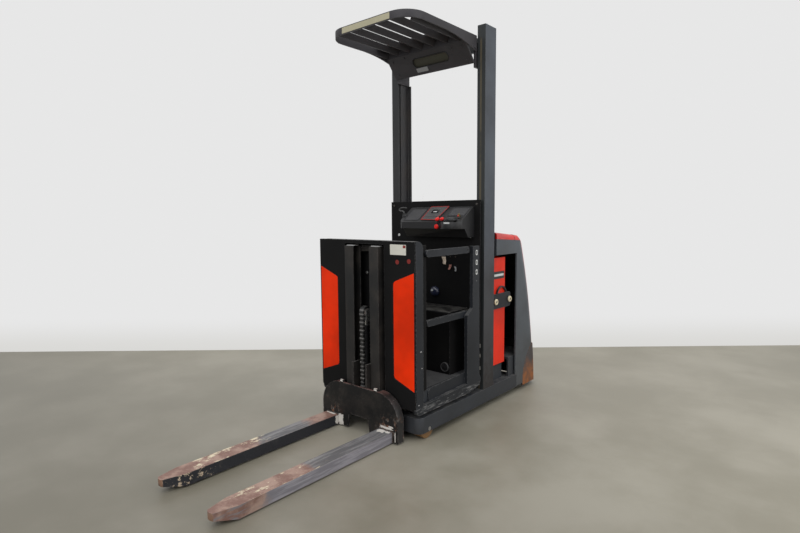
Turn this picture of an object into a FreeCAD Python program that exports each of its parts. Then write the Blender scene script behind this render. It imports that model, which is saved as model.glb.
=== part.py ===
import FreeCAD, Part
import Sketcher
import os

# Order picker truck: a fixed chassis with two mast columns, a cab that slides up them,
# and a small fork mast on the front of the cab. X is across, forks point to -Y, Z is up.
doc = FreeCAD.newDocument("OrderPicker")
sheet = doc.addObject("Spreadsheet::Sheet", "sizes")

# Driving sizes in millimetres and degrees. Lengths along the truck count from the cab's front face.
drivingSizes = {
    "halfWidth": 400, "forkReach": 1204, "bodyLength": 1560, "panelSeam": 0.3, "fitGap": 0.05,
    "railGap": 0.3, "moveGap": 6,
    "frameBottom": 47, "frameHeight": 96, "frameSetback": 37, "frameBeam": 110, "frameCross": 62,
    "frameCorner": 45, "frameRearShare": 0.4839, "frameRearCross": 90,
    "loadWheelRadius": 62.5, "loadWheelWidth": 70, "loadWheelPlace": 132, "loadAxleRadius": 12,
    "wheelSideGap": 5, "wheelRoof": 8, "loadBeamWall": 15,
    "driveWheelRadius": 115, "driveWheelWidth": 76, "driveWheelShare": 0.6631, "driveAxleRadius": 18,
    "knucklePlate": 26, "turntableRadius": 105, "turntableHeight": 22,
    "columnPlace": 732, "columnDepth": 130.5, "columnWidth": 61.5, "columnTop": 2544,
    "columnWeb": 15, "columnFlange": 14, "crossbeamDepth": 26, "crossbeamHeight": 90,
    "topBeamDrop": 30, "midBeamPlace": 1180,
    "housingWall": 12, "housingTop": 1208, "housingRearTop": 1168, "housingBottom": 52,
    "housingCorner": 120, "rearTopShare": 0.6573, "rearBulge": 42, "sideTopFront": 1172,
    "sideTopRear": 1140, "sideBand": 25, "panelInset": 82, "topRound": 26, "batteryDoorFront": 885, "batteryDoorShare": 0.4244,
    "batteryDoorTop": 1050, "hoodSeam": 0.8,
    "skirtProud": 8, "skirtLow": 35, "skirtTop": 325, "skirtLowShare": 0.62, "skirtTopShare": 0.8007,
    "skirtBend": 0.28, "skirtBendHeight": 0.62,
    "batteryPlace": 872, "batteryShare": 0.2839, "batteryInset": 34, "batteryBase": 262,
    "batteryHeight": 766, "batteryRim": 14, "trayRail": 60,
    "latchPlace": 722, "latchHeight": 104, "latchRing": 14, "latchStrap": 9, "latchReach": 66, "latchRise": 52, "latchShare": 0.3412, "latchSheet": 14, "latchButton": 24,
    "latchSetback": 4,
    "motorShare": 0.3477, "motorDepthShare": 0.2437, "motorInset": 150, "motorHeight": 560,
    "deckHeight": 285, "deckPlate": 15, "deckRearShare": 0.8065, "deckInset": 20, "deckLeg": 14,
    "cylinderPlace": 790, "cylinderRadius": 38, "cylinderBore": 28, "rodRadius": 27.7,
    "cylinderTop": 1330, "cylinderFloor": 30,
    "cabLift": 1100, "cabBottom": 209, "cabTop": 1182, "wallDepth": 60, "recessHalf": 165,
    "recessDepth": 108, "recessTop": 1160, "panSheet": 5,
    "insertSpan": 164, "insertOuterTop": 1005, "insertInnerTop": 945, "insertInnerLow": 372,
    "insertOuterLow": 314, "insertDepth": 5, "insertCorner": 26, "insertGap": 0.5,
    "sideSheet": 24, "postWidth": 74, "sillBottom": 168, "sillHeight": 50, "sillRise": 14, "sillHeel": 697,
    "sillHeelLow": 560, "sillHeelRise": 24, "sideRear": 680,
    "sideRearTop": 672, "sidePanelTop": 1128, "panelFront": 597, "panelFrontLow": 535,
    "notchTop": 724, "notchLow": 684, "lowCorner": 34, "postCorner": 44, "frontSkin": 8, "skinMargin": 1.5,
    "skinLow": 200, "skinCorner": 30, "insertMargin": 9, "returnRear": 133, "upperCorner": 14,
    "floorTop": 286, "floorSheet": 8, "matSheet": 6, "matInset": 22, "linerPlace": 150,
    "linerDepth": 28, "linerSheet": 6, "linerRise": 10, "ringPlace": 264, "ringHeight": 336, "ringRadius": 31,
    "ringProud": 8, "kneeFront": 478,
    "kneeLeftInset": 150, "kneeRightInset": 100, "kneeTop": 703, "kneeWall": 8,
    "rearWallPlace": 700, "rearWallSheet": 12, "ledgeHeight": 1428, "ledgeSheet": 10,
    "innerWall": 8, "innerTop": 2280, "innerBottom": 212, "innerLip": 27, "innerLipSheet": 9,
    "innerBeamHeight": 64, "innerBeamDepth": 60, "padHeight": 120,
    "screenSheet": 5, "screenTop": 2350, "screenInset": 74,
    "guardInset": 61, "guardFront": 37, "guardTop": 2479, "guardLip": 44, "guardSheet": 9,
    "guardCorner": 140, "guardRear": 724, "flangeLow": 2375, "flangeStart": 330,
    "guardRoofFront": 480, "guardPlateLow": 2305, "guardPlatePlace": 700, "guardPlateTop": 600, "guardBendHeight": 2425,
    "earSheet": 12, "earTop": 2440, "earPlace": 715,
    "bladeSheet": 8, "outerBladeDrop": 8, "bladePitch": 104.5, "ovalHalfLength": 148, "ovalHalfHeight": 25, "ovalShift": 20,
    "ovalPlace": 2370,
    "railHeight": 42, "railSheet": 20, "railPlace": 1108, "railFront": 112, "railHinge": 540,
    "barHeight": 38, "barSheet": 22, "barPlace": 688, "barFront": 150, "barHinge": 571,
    "hingePin": 8, "hingeSheet": 12, "gateSwing": 76,
    "lobePlace": 262, "lobeFront": 496, "lobeSide": 560, "armCorner": 34, "domePlace": 266, "domeRadius": 38, "domeHeight": 18,
    "padLow": 0.1, "padHigh": 0.94, "padLeft": 30, "padRight": 134, "padSlant": 37, "consoleLeftInset": 220, "consoleRightInset": 58, "consoleFront": 540, "consoleLipHeight": 44,
    "consoleSlope": 102, "consoleDrop": 42, "consoleBack": 690, "consoleHeight": 206, 
    "channelWidth": 73.5, "channelDepth": 70, "channelSheet": 8, "channelSetback": -25,
    "channelBottom": 214, "channelOuter": 141, "tiePlace": 55, "tieHeight": 36, "mastTopGap": 13, "liftPlace": 0, "liftDepth": 8, "liftRadius": 20, "liftBore": 14.5,
    "liftRod": 14.2, "liftTop": 660, "liftFloor": 22,
    "pulleyPlace": 740, "pulleyRadius": 24, "chainPlace": 0, "chainWidth": 32,
    "chainSheet": 14, "chainPitch": 25, "chainEnd": 245, "chainAxle": 9, "chainCore": 0.2, "chainJoint": 0.16, "chainStep": 0.13,
    "cheekGap": 1, "cheekSheet": 8, "yokeHeight": 18,
    "forkLift": 700, "plateHalf": 322, "plateTop": 287, "plateBottom": 10, "plateFlat": 170,
    "plateShoulder": 278, "plateShoulderHeight": 240, "plateCorner": 136, "plateSheet": 15,
    "plateFront": 69, "plateRim": 52, "rimWall": 12, "rimGap": 165, "plateNotch": 95, "plateNotchTop": 100,
    "forkOuter": 280, "forkWidth": 104, "forkTop": 71, "forkBottom": 8, "forkSheet": 12,
    "forkTaper": 114, "forkTip": 48,
    "uprightSheet": 14, "uprightTop": 430, "rollerLow": 250, "rollerHigh": 392,
    "rollerSideGap": 4, "lugSheet": 16,
}


class Size:
    """A length that carries its number and the cell formula it comes from."""

    def __init__(self, number, text):
        self.number = number
        self.text = text

    def join(self, other, sign, number):
        return Size(number, "(%s %s %s)" % (self.text, sign, sizeOf(other).text))

    def __add__(self, other):
        return self.join(other, "+", self.number + sizeOf(other).number)

    def __sub__(self, other):
        return self.join(other, "-", self.number - sizeOf(other).number)

    def __mul__(self, other):
        return self.join(other, "*", self.number * sizeOf(other).number)

    def __truediv__(self, other):
        return self.join(other, "/", self.number / sizeOf(other).number)

    def __neg__(self):
        return self * -1

    def __radd__(self, other):
        return sizeOf(other) + self

    def __rsub__(self, other):
        return sizeOf(other) - self

    def __rmul__(self, other):
        return sizeOf(other) * self


def sizeOf(value):
    return value if isinstance(value, Size) else Size(float(value), repr(value))


class Named:
    """The sheet's cells by name."""


s = Named()
for row, (name, number) in enumerate(drivingSizes.items(), start=1):
    sheet.set("A%d" % row, name)
    sheet.set("B%d" % row, str(number))
    sheet.setAlias("B%d" % row, name)
    setattr(s, name, Size(float(number), "sizes." + name))
doc.recompute()

frontPlace = (s.forkReach - s.bodyLength) / 2
nodes = []

# Sizes that follow the width, the rear's length or the ledge.
widths = {"guardHalf": s.guardInset, "deckHalfWidth": s.deckInset, "batteryHalfWidth": s.batteryInset,
          "motorHalfWidth": s.motorInset, "screenHalf": s.screenInset, "insertInner": s.insertSpan,
          "consoleRight": s.consoleRightInset, "kneeRight": s.kneeRightInset}
for name, inset in widths.items():
    setattr(s, name, s.halfWidth - inset)
s.consoleLeft = s.consoleLeftInset - s.halfWidth
s.kneeLeft = s.kneeLeftInset - s.halfWidth
columnRear = s.columnPlace + s.columnDepth
rearSpan = s.bodyLength - columnRear
places = {"rearTopPlace": s.rearTopShare, "skirtFrontLow": s.skirtLowShare, "skirtFrontTop": s.skirtTopShare,
          "driveWheelPlace": s.driveWheelShare, "motorPlace": s.motorShare, "deckRear": s.deckRearShare,
          "frameRear": s.frameRearShare}
for name, share in places.items():
    setattr(s, name, columnRear + rearSpan * share)
s.motorLength = rearSpan * s.motorDepthShare
s.batteryLength = rearSpan * s.batteryShare
s.batteryDoorLength = rearSpan * s.batteryDoorShare
s.latchLength = rearSpan * s.latchShare
s.consoleRise = s.ledgeHeight - s.consoleDrop
s.consoleLipTop = s.consoleRise - s.consoleSlope
s.consoleLip = s.consoleLipTop - s.consoleLipHeight
s.consoleLow = s.consoleRise - s.consoleHeight
turned = {"X": FreeCAD.Rotation(FreeCAD.Vector(0, 1, 0), 90), "Z": FreeCAD.Rotation(),
          "Y": FreeCAD.Rotation(FreeCAD.Vector(1, 0, 0), -90)}


def along(length):
    """A place along the truck, counted from the cab's front face."""
    return frontPlace + length


def bind(thing, **formulas):
    for name, value in formulas.items():
        thing.setExpression(name.replace("_", "."), sizeOf(value).text)
    return thing


def moved(thing, x, y, z, rotation=None):
    thing.Placement = FreeCAD.Placement(FreeCAD.Vector(0, 0, 0), rotation or FreeCAD.Rotation())
    return bind(thing, Placement_Base_x=x, Placement_Base_y=y, Placement_Base_z=z)


def box(name, low, high):
    """A block between two corners."""
    block = doc.addObject("Part::Box", name)
    bind(block, Length=high[0] - low[0], Width=high[1] - low[1], Height=high[2] - low[2])
    return moved(block, *low)


def rod(name, start, radius, length, axis="Z"):
    """A round bar from a start point along an axis."""
    bar = doc.addObject("Part::Cylinder", name)
    bind(bar, Radius=radius, Height=length)
    return moved(bar, *start, turned[axis])


def fuse(name, *parts):
    joined = doc.addObject("Part::MultiFuse", name)
    joined.Shapes = list(parts)
    joined.Refine = True
    return joined


def cut(name, base, *tools):
    tool = tools[0] if len(tools) == 1 else fuse(name + "Tools", *tools)
    rest = doc.addObject("Part::Cut", name)
    rest.Base = base
    rest.Tool = tool
    return rest


def common(name, base, tool):
    both = doc.addObject("Part::Common", name)
    both.Base = base
    both.Tool = tool
    return both


def group(name, *parts):
    """Like pieces of one node, which don't touch."""
    pieces = doc.addObject("Part::Compound", name)
    pieces.Links = list(parts)
    return pieces


def rounded(name, base, radius, wanted):
    """Rounds the edges whose middle and direction the test wants."""
    doc.recompute()
    smooth = doc.addObject("Part::Fillet", name)
    smooth.Base = base
    edges = []
    for number, edge in enumerate(base.Shape.Edges, start=1):
        middle = edge.valueAt((edge.FirstParameter + edge.LastParameter) / 2)
        way = edge.tangentAt(edge.FirstParameter)
        if edge.Curve.TypeId == "Part::GeomLine" and wanted(middle, way):
            edges.append((number, radius.number, radius.number))
    smooth.Edges = edges
    return smooth


axesOf = {"XY": ("XY_Plane", 0, 1, 2), "XZ": ("XZ_Plane", 0, 2, 1), "YZ": ("YZ_Plane", 1, 2, 0)}


def prism(name, plane, outline, start, end):
    """A flat outline of points, or arcs as (through, to), padded between two places."""
    role, _, _, normal = axesOf[plane]
    body = doc.addObject("PartDesign::Body", name)
    sketch = body.newObject("Sketcher::SketchObject", name + "Outline")
    origin = [item for item in body.Origin.OriginFeatures if item.Role == role][0]
    sketch.AttachmentSupport = [(origin, "")]
    sketch.MapMode = "FlatFace"
    drawOutline(sketch, outline)
    pad = body.newObject("PartDesign::Pad", name + "Pad")
    pad.Profile = sketch
    bind(pad, Length=end - start)
    pad.Reversed = plane == "XZ"
    sketch.Visibility = False
    place = [sizeOf(0), sizeOf(0), sizeOf(0)]
    place[normal] = start
    return moved(body, *place)


def drawOutline(sketch, outline):
    """Draws a closed run of lines and arcs and ties each point to its formula."""
    def flat(pair):
        return FreeCAD.Vector(sizeOf(pair[0]).number, sizeOf(pair[1]).number, 0)

    ends = [point[1] if isinstance(point[0], tuple) else point for point in outline]
    for number, point in enumerate(outline):
        start = flat(ends[number - 1])
        if isinstance(point[0], tuple):
            arc = Part.Arc(start, flat(point[0]), flat(point[1]))
            index = sketch.addGeometry(arc, False)
            turn = (flat(point[0]) - start).cross(flat(point[1]) - start).z
            first, last = (1, 2) if turn > 0 else (2, 1)
        else:
            index = sketch.addGeometry(Part.LineSegment(start, flat(point)), False)
            first, last = 1, 2
        if number:
            sketch.addConstraint(Sketcher.Constraint("Coincident", index, first, before, ended))
        else:
            opened = first
        before, ended = index, last
        tie(sketch, index, last, ends[number])
        if isinstance(point[0], tuple):
            helper = sketch.addGeometry(Part.Point(flat(point[0])), True)
            sketch.addConstraint(Sketcher.Constraint("PointOnObject", helper, 1, index))
            tie(sketch, helper, 1, point[0])
    sketch.addConstraint(Sketcher.Constraint("Coincident", 0, opened, before, ended))


def tie(sketch, index, point, pair):
    for kind, value in zip(("DistanceX", "DistanceY"), pair):
        number = sizeOf(value).number
        constraint = sketch.addConstraint(Sketcher.Constraint(kind, -1, 1, index, point, number))
        sketch.setExpression("Constraints[%d]" % constraint, sizeOf(value).text)


def node(name, thing):
    """Names the finished sub-part; its name is its file."""
    thing.Label = name
    nodes.append((name, thing))


def sides():
    """Left is -X, right is +X: the side seen from the right of the forks."""
    return (("left", -1), ("right", 1))


def spread(sign, inner, outer):
    """Two places across the truck, low first."""
    return (inner, outer) if sign > 0 else (-outer, -inner)


def sideBox(name, sign, inner, outer, y0, y1, z0, z1):
    x0, x1 = spread(sign, inner, outer)
    return box(name, (x0, y0, z0), (x1, y1, z1))


def makeBaseFrame():
    low, top = s.frameBottom, s.frameBottom + s.frameHeight
    front = along(s.frameSetback)
    rear = along(s.frameRear)
    outline = [(-s.halfWidth, front), (s.halfWidth, front), (s.halfWidth, rear), (-s.halfWidth, rear)]
    slab = prism("frameSlab", "XY", outline, low, top)
    inside = s.halfWidth - s.frameBeam
    well = box("frameWell", (-inside, front + s.frameCross, low - 1),
               (inside, rear - s.frameRearCross, top + 1))
    frame = rounded("frameRound", cut("frameOpen", slab, well), s.frameCorner,
                    lambda middle, way: abs(way.z) > 0.9 and middle.y < front.number + 1)
    place = along(s.loadWheelPlace)
    reach = s.loadWheelRadius + s.wheelSideGap
    wheelIn = s.halfWidth - s.loadBeamWall - s.loadWheelWidth - 2 * s.wheelSideGap
    tools = []
    for side, sign in sides():
        tools.append(sideBox("frameArch" + side, sign, wheelIn, s.halfWidth - s.loadBeamWall,
                             place - reach, place + reach, low - 1, top - s.wheelRoof))
    tools.append(rod("frameAxleBore", (-s.halfWidth - 1, place, s.loadWheelRadius),
                     s.loadAxleRadius + s.fitGap, 2 * s.halfWidth + 2, "X"))
    deckLow = s.deckHeight - s.deckPlate
    deck = box("deckSheet", (-s.deckHalfWidth, rear - s.frameRearCross, deckLow),
               (s.deckHalfWidth, along(s.deckRear), s.deckHeight))
    hub = rod("deckHub", (sizeOf(0), along(s.driveWheelPlace), deckLow - 1),
              s.turntableRadius / 2 + s.railGap, s.deckPlate + 2)
    legs = [sideBox("deckLeg" + side, sign, s.deckHalfWidth - s.deckLeg, s.deckHalfWidth,
                    rear - s.frameRearCross, rear, top, deckLow) for side, sign in sides()]
    node("base_frame", cut("base_frame", fuse("frameWhole", frame, deck, *legs), hub, *tools))


def makeLoadWheels():
    place = along(s.loadWheelPlace)
    outer = s.halfWidth - s.loadBeamWall - s.wheelSideGap
    inner = outer - s.loadWheelWidth
    axles = []
    for side, sign in sides():
        x0, x1 = spread(sign, inner, outer)
        tyre = rod("loadTyre" + side, (x0, place, s.loadWheelRadius), s.loadWheelRadius,
                   s.loadWheelWidth, "X")
        bore = rod("loadBore" + side, (x0 - 1, place, s.loadWheelRadius),
                   s.loadAxleRadius + s.fitGap, s.loadWheelWidth + 2, "X")
        node("load_wheel_" + side, cut("load_wheel_" + side, tyre, bore))
        a0, a1 = spread(sign, s.halfWidth - s.frameBeam, s.halfWidth)
        axles.append(rod("loadAxle" + side, (a0, place, s.loadWheelRadius), s.loadAxleRadius,
                         s.frameBeam, "X"))
    node("load_wheel_axles", group("load_wheel_axles", *axles))


def makeMast():
    bottom = s.frameBottom + s.frameHeight
    front, rear = along(s.columnPlace), along(s.columnPlace) + s.columnDepth
    inner = s.halfWidth - s.columnWidth
    web = s.halfWidth - s.columnWeb
    for side, sign in sides():
        outline = [(sign * inner, front), (sign * s.halfWidth, front), (sign * s.halfWidth, rear),
                   (sign * inner, rear), (sign * inner, rear - s.columnFlange),
                   (sign * web, rear - s.columnFlange), (sign * web, front + s.columnFlange),
                   (sign * inner, front + s.columnFlange)]
        node("mast_column_" + side, prism("mast_column_" + side, "XY", outline, bottom, s.columnTop))
    top, half = s.columnTop - s.topBeamDrop, s.halfWidth - s.columnWidth / 2
    node("mast_crossbeam", box("mast_crossbeam", (-half, rear, top - s.crossbeamHeight),
                               (half, rear + s.crossbeamDepth, top)))


def rearSlope(inset):
    """The rear's gently bulging line: its low end, the middle of its arc and its top end."""
    low = along(s.bodyLength) - s.skirtProud - inset
    top = along(s.rearTopPlace) - inset
    return low, ((low + top) / 2 + s.rearBulge, (s.housingBottom + s.housingRearTop) / 2), top


def housingBlock(name, inset, low):
    """The rear's rounded outer form, or the same form inset by a wall."""
    half = s.halfWidth - inset
    front = along(s.columnPlace) + s.columnDepth + s.crossbeamDepth + s.moveGap
    rearLow, middle, rearTop = rearSlope(inset)
    outline = [(front, low), (rearLow, low), (middle, (rearTop, s.housingRearTop - inset)),
               (front, s.housingTop - inset)]
    block = prism(name + "Side", "YZ", outline, -half, half)
    doc.recompute()
    smooth = doc.addObject("Part::Fillet", name)
    smooth.Base = block
    corner = (s.housingCorner - inset).number
    smooth.Edges = [(number, corner, corner) for number, edge in enumerate(block.Shape.Edges, start=1)
                    if edge.Curve.TypeId == "Part::GeomCircle"]
    return smooth


def makeHousing():
    """The rear cover's walls: side panels that end along the slope, the hood over and behind them."""
    front = along(0)
    band = s.halfWidth - s.sideBand
    frameTop = s.frameBottom + s.frameHeight + s.panelSeam
    frameRear = along(s.frameRear) + s.panelSeam
    frameRoom = box("frameRoom", (-s.halfWidth - 1, front, sizeOf(0)),
                    (s.halfWidth + 1, frameRear, frameTop))
    doors = box("batteryDoors", (-s.halfWidth - 1, along(s.batteryDoorFront), frameTop - 1),
                (s.halfWidth + 1, along(s.batteryDoorFront) + s.batteryDoorLength, s.batteryDoorTop))
    walls = common("housingCheeks", housingShell("sideShell"), panelBands("cheek", band, sizeOf(0)))
    node("side_panels", cut("side_panels", walls, frameRoom, doors, skirtWedge("panelWedge", s.panelSeam)))
    low = box("hoodLow", (-s.halfWidth, front, sizeOf(0)), (s.halfWidth, frameRear, s.deckHeight + 1))
    rims = panelBands("hoodRim", band - s.hoodSeam, s.hoodSeam)
    node("hood", cut("hood", housingShell("hoodShell"), low, rims, skirtWedge("hoodWedge", s.panelSeam)))


def panelBands(name, inner, seam):
    """The two bands that the side panels fill, larger by the seam."""
    low, (place, height), top = rearSlope(s.panelInset - seam)
    front = along(0)
    outline = [(front, sizeOf(0)), (low, sizeOf(0)), ((place, height), (top, s.sideTopRear + seam)),
               (along(s.columnPlace), s.sideTopFront + seam), (front, s.sideTopFront + seam)]
    return group(name + "s", *[prism(name + side, "YZ", outline, *spread(sign, inner, s.halfWidth + 1 + seam))
                               for side, sign in sides()])


def housingShell(name):
    return cut(name, housingBlock(name + "Outer", sizeOf(0), s.housingBottom),
               housingBlock(name + "Inner", s.housingWall, s.housingBottom - s.housingWall))


def skirtWedge(name, seam):
    """The side outline of the bumper skirt: a curved front edge under a level top."""
    low, top = s.skirtLow - seam, s.skirtTop + seam
    front, frontTop = along(s.skirtFrontLow) - seam, along(s.skirtFrontTop) - seam
    bend = (front + (frontTop - front) * s.skirtBend, low + (top - low) * s.skirtBendHeight)
    rear = along(s.bodyLength) + 1
    reach = s.halfWidth + s.skirtProud
    return prism(name, "YZ", [(rear, low), (rear, top), (frontTop, top), (bend, (front, low))], -reach, reach)


def makeSkirt():
    outer = housingBlock("skirtOuter", -s.skirtProud, s.skirtLow)
    inner = housingBlock("skirtInner", s.housingWall, s.skirtLow - s.housingWall)
    wide = box("skirtWide", (-s.halfWidth, along(0), sizeOf(0)), (s.halfWidth, along(s.bodyLength), s.skirtTop))
    ring = common("skirtRing", cut("skirtShell", outer, inner), skirtWedge("skirtSide", sizeOf(0)))
    node("bumper_skirt", common("bumper_skirt", ring, wide))


def makeBattery():
    front, rear = along(s.batteryPlace), along(s.batteryPlace) + s.batteryLength
    half, base = s.batteryHalfWidth, s.batteryBase
    top = base + s.batteryHeight
    case = box("batteryCase", (-half, front, base), (half, rear, top))
    well = box("batteryWell", (-half + s.batteryRim, front + s.batteryRim, top - s.batteryRim),
               (half - s.batteryRim, rear - s.batteryRim, top + 1))
    node("battery", cut("battery", case, well))
    frameTop = s.frameBottom + s.frameHeight
    inside = s.halfWidth - s.frameBeam
    rails = [sideBox("trayRail" + side, sign, inside - s.trayRail + s.frameBeam / 2, inside + s.frameBeam / 2,
                     front, rear, frameTop, base - s.panelSeam) for side, sign in sides()]
    node("battery_tray", group("battery_tray", *rails))
    motorFront = along(s.motorPlace)
    node("power_unit", box("power_unit", (-s.motorHalfWidth, motorFront, s.deckHeight + s.panelSeam),
                           (s.motorHalfWidth, motorFront + s.motorLength, s.deckHeight + s.motorHeight)))


def makeLiftCylinder():
    base = s.frameBottom + s.frameHeight + s.panelSeam
    start = (sizeOf(0), along(s.cylinderPlace), base)
    tube = rod("liftTube", start, s.cylinderRadius, s.cylinderTop - base)
    bore = rod("liftHole", (start[0], start[1], base + s.cylinderFloor), s.cylinderBore,
               s.cylinderTop)
    depth = s.cylinderRadius + s.cylinderFloor / 2
    half = s.halfWidth - s.columnWidth - s.moveGap
    foot = box("liftFoot", (-half, start[1] - depth, base),
               (half, start[1] + depth, base + s.cylinderFloor / 2))
    node("lift_cylinder", cut("lift_cylinder", fuse("liftBody", tube, foot), bore))
    rodLow = base + s.cylinderFloor + s.moveGap
    node("lift_rod", rod("lift_rod", (start[0], start[1], rodLow), s.rodRadius,
                         innerBeamLow() - s.panelSeam - rodLow))


def innerBeamLow():
    return s.cylinderTop + s.moveGap * 2


def makeDrive():
    place = along(s.driveWheelPlace)
    radius, width = s.driveWheelRadius, s.driveWheelWidth
    tyre = rod("driveTyre", (-width / 2, place, radius), radius, width, "X")
    bore = rod("driveBore", (-width / 2 - 1, place, radius), s.driveAxleRadius + s.fitGap,
               width + 2, "X")
    node("drive_wheel", cut("drive_wheel", tyre, bore))
    cheekIn = width / 2 + s.wheelSideGap
    plateLow = s.deckHeight - s.deckPlate - s.panelSeam - s.turntableHeight
    disc = rod("turntableDisc", (sizeOf(0), place, plateLow), s.turntableRadius, s.turntableHeight)
    hub = rod("turntableHub", (sizeOf(0), place, plateLow), s.turntableRadius / 2,
              s.turntableHeight + s.deckPlate)
    cheek = box("driveCheek", (cheekIn, place - s.turntableRadius / 2, radius - s.knucklePlate * 1.5),
                (cheekIn + s.knucklePlate, place + s.turntableRadius / 2, plateLow + 1))
    axle = rod("driveAxle", (-width / 2, place, radius), s.driveAxleRadius,
               width + s.wheelSideGap + s.knucklePlate, "X")
    node("drive_knuckle", fuse("drive_knuckle", disc, hub, cheek, axle))


def makeCabFloor():
    inner = s.halfWidth - s.sideSheet - s.linerSheet - s.panelSeam
    rear = along(s.rearWallPlace) - s.panelSeam
    front = along(s.wallDepth) + s.panelSeam
    bay = s.recessHalf + s.panSheet * 2
    block = box("floorBlock", (-inner, front, s.cabBottom), (inner, rear, s.floorTop))
    under = box("floorUnder", (-inner + s.floorSheet, along(s.recessDepth) + s.floorSheet, s.cabBottom - 1),
                (inner - s.floorSheet, rear - s.floorSheet, s.floorTop - s.floorSheet))
    gap = box("floorBay", (-bay, front - 1, s.cabBottom - 2),
              (bay, along(s.recessDepth) + s.panelSeam, s.floorTop + 1))
    wall = s.kneeWall
    well = box("floorWell", (s.kneeLeft + wall, along(s.kneeFront) + wall, s.cabBottom - 3),
               (s.kneeRight - wall, rear - s.floorSheet, s.floorTop + 2))
    node("cab_floor", cut("cab_floor", block, under, gap, well))
    top = s.floorTop + s.panelSeam
    mat = box("matSheet", (-inner + s.matInset, front + s.matInset, top),
              (inner - s.matInset, along(s.kneeFront) - s.floorSheet, top + s.matSheet))
    room = bay + s.matInset
    matBay = box("matBay", (-room, front, top - 1),
                 (room, along(s.recessDepth) + s.matInset, top + s.matSheet + 1))
    node("floor_mat", cut("floor_mat", mat, matBay))
    kneeRear = rear - s.floorSheet
    shell = box("kneeShell", (s.kneeLeft, along(s.kneeFront), top), (s.kneeRight, kneeRear, s.kneeTop))
    soft = rounded("kneeSoft", shell, s.upperCorner, lambda middle, way: abs(way.x) > 0.9
                   and middle.z > s.kneeTop.number - 1 and middle.y < kneeRear.number - 1)
    hollow = box("kneeHollow", (s.kneeLeft + wall, along(s.kneeFront) + wall, top - 1),
                 (s.kneeRight - wall, kneeRear - wall, s.kneeTop - wall))
    place = (s.ringPlace, along(s.kneeFront) - s.ringProud, s.ringHeight)
    ring = rod("kneeRing", place, s.ringRadius, s.ringProud + 1, "Y")
    bore = rod("kneeRingBore", (s.ringPlace, along(s.kneeFront) - s.ringProud - 1, s.ringHeight),
               s.ringRadius * 0.6, s.ringProud + 1, "Y")
    node("leg_cabinet", cut("leg_cabinet", fuse("kneeWhole", soft, ring), hollow, bore))


def insertOutline(sign, margin):
    """The red insert's outline on one wing, slanting at both ends."""
    inner, outer = s.insertInner - margin, s.halfWidth - s.insertMargin + margin
    return [(sign * inner, s.insertInnerLow - margin), (sign * outer, s.insertOuterLow - margin),
            (sign * outer, s.insertOuterTop + margin), (sign * inner, s.insertInnerTop + margin)]


def makeCabFront():
    front, back = along(0), along(s.wallDepth)
    half = s.halfWidth - s.sideSheet - s.panelSeam
    wide = s.halfWidth - s.skinMargin
    wall = box("frontSlab", (-half, front, s.cabBottom), (half, back, s.cabTop))
    skin = box("frontSkinPart", (-wide, front, s.skinLow), (wide, front + s.frontSkin, s.cabTop))
    skinSoft = rounded("frontSkinSoft", skin, s.skinCorner,
                       lambda middle, way: abs(way.y) > 0.9 and middle.z < s.skinLow.number + 1)
    panOuter = s.recessHalf + s.panSheet
    pan = box("frontPan", (-panOuter, back - 1, s.cabBottom),
              (panOuter, along(s.recessDepth), s.recessTop + s.panSheet))
    recess = box("frontRecess", (-s.recessHalf, front - 1, s.skinLow - 1),
                 (s.recessHalf, along(s.recessDepth) - s.panSheet, s.recessTop))
    tools, plates, returns = [recess], [], []
    middle = (s.insertInner + s.halfWidth).number / 2
    for side, sign in sides():
        tools.append(prism("insertSeat" + side, "XZ", insertOutline(sign, s.insertGap),
                           front - 1, front + s.insertDepth))
        plate = prism("insertPlate" + side, "XZ", insertOutline(sign, -s.insertGap),
                      front, front + s.insertDepth - s.panelSeam)
        plates.append(rounded("insertRound" + side, plate, s.insertCorner,
                              lambda point, way: abs(way.y) > 0.9 and abs(point.x) < middle))
        returns.append(sideBox("frontReturn" + side, sign, half - s.linerSheet, half, back - 1,
                               along(s.returnRear), s.floorTop + s.moveGap, s.cabTop - s.insertCorner))
    whole = fuse("frontBody", wall, skinSoft, pan, *returns)
    node("cab_front", cut("cab_front", whole, *tools))
    node("front_inserts", group("front_inserts", *plates))


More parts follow.
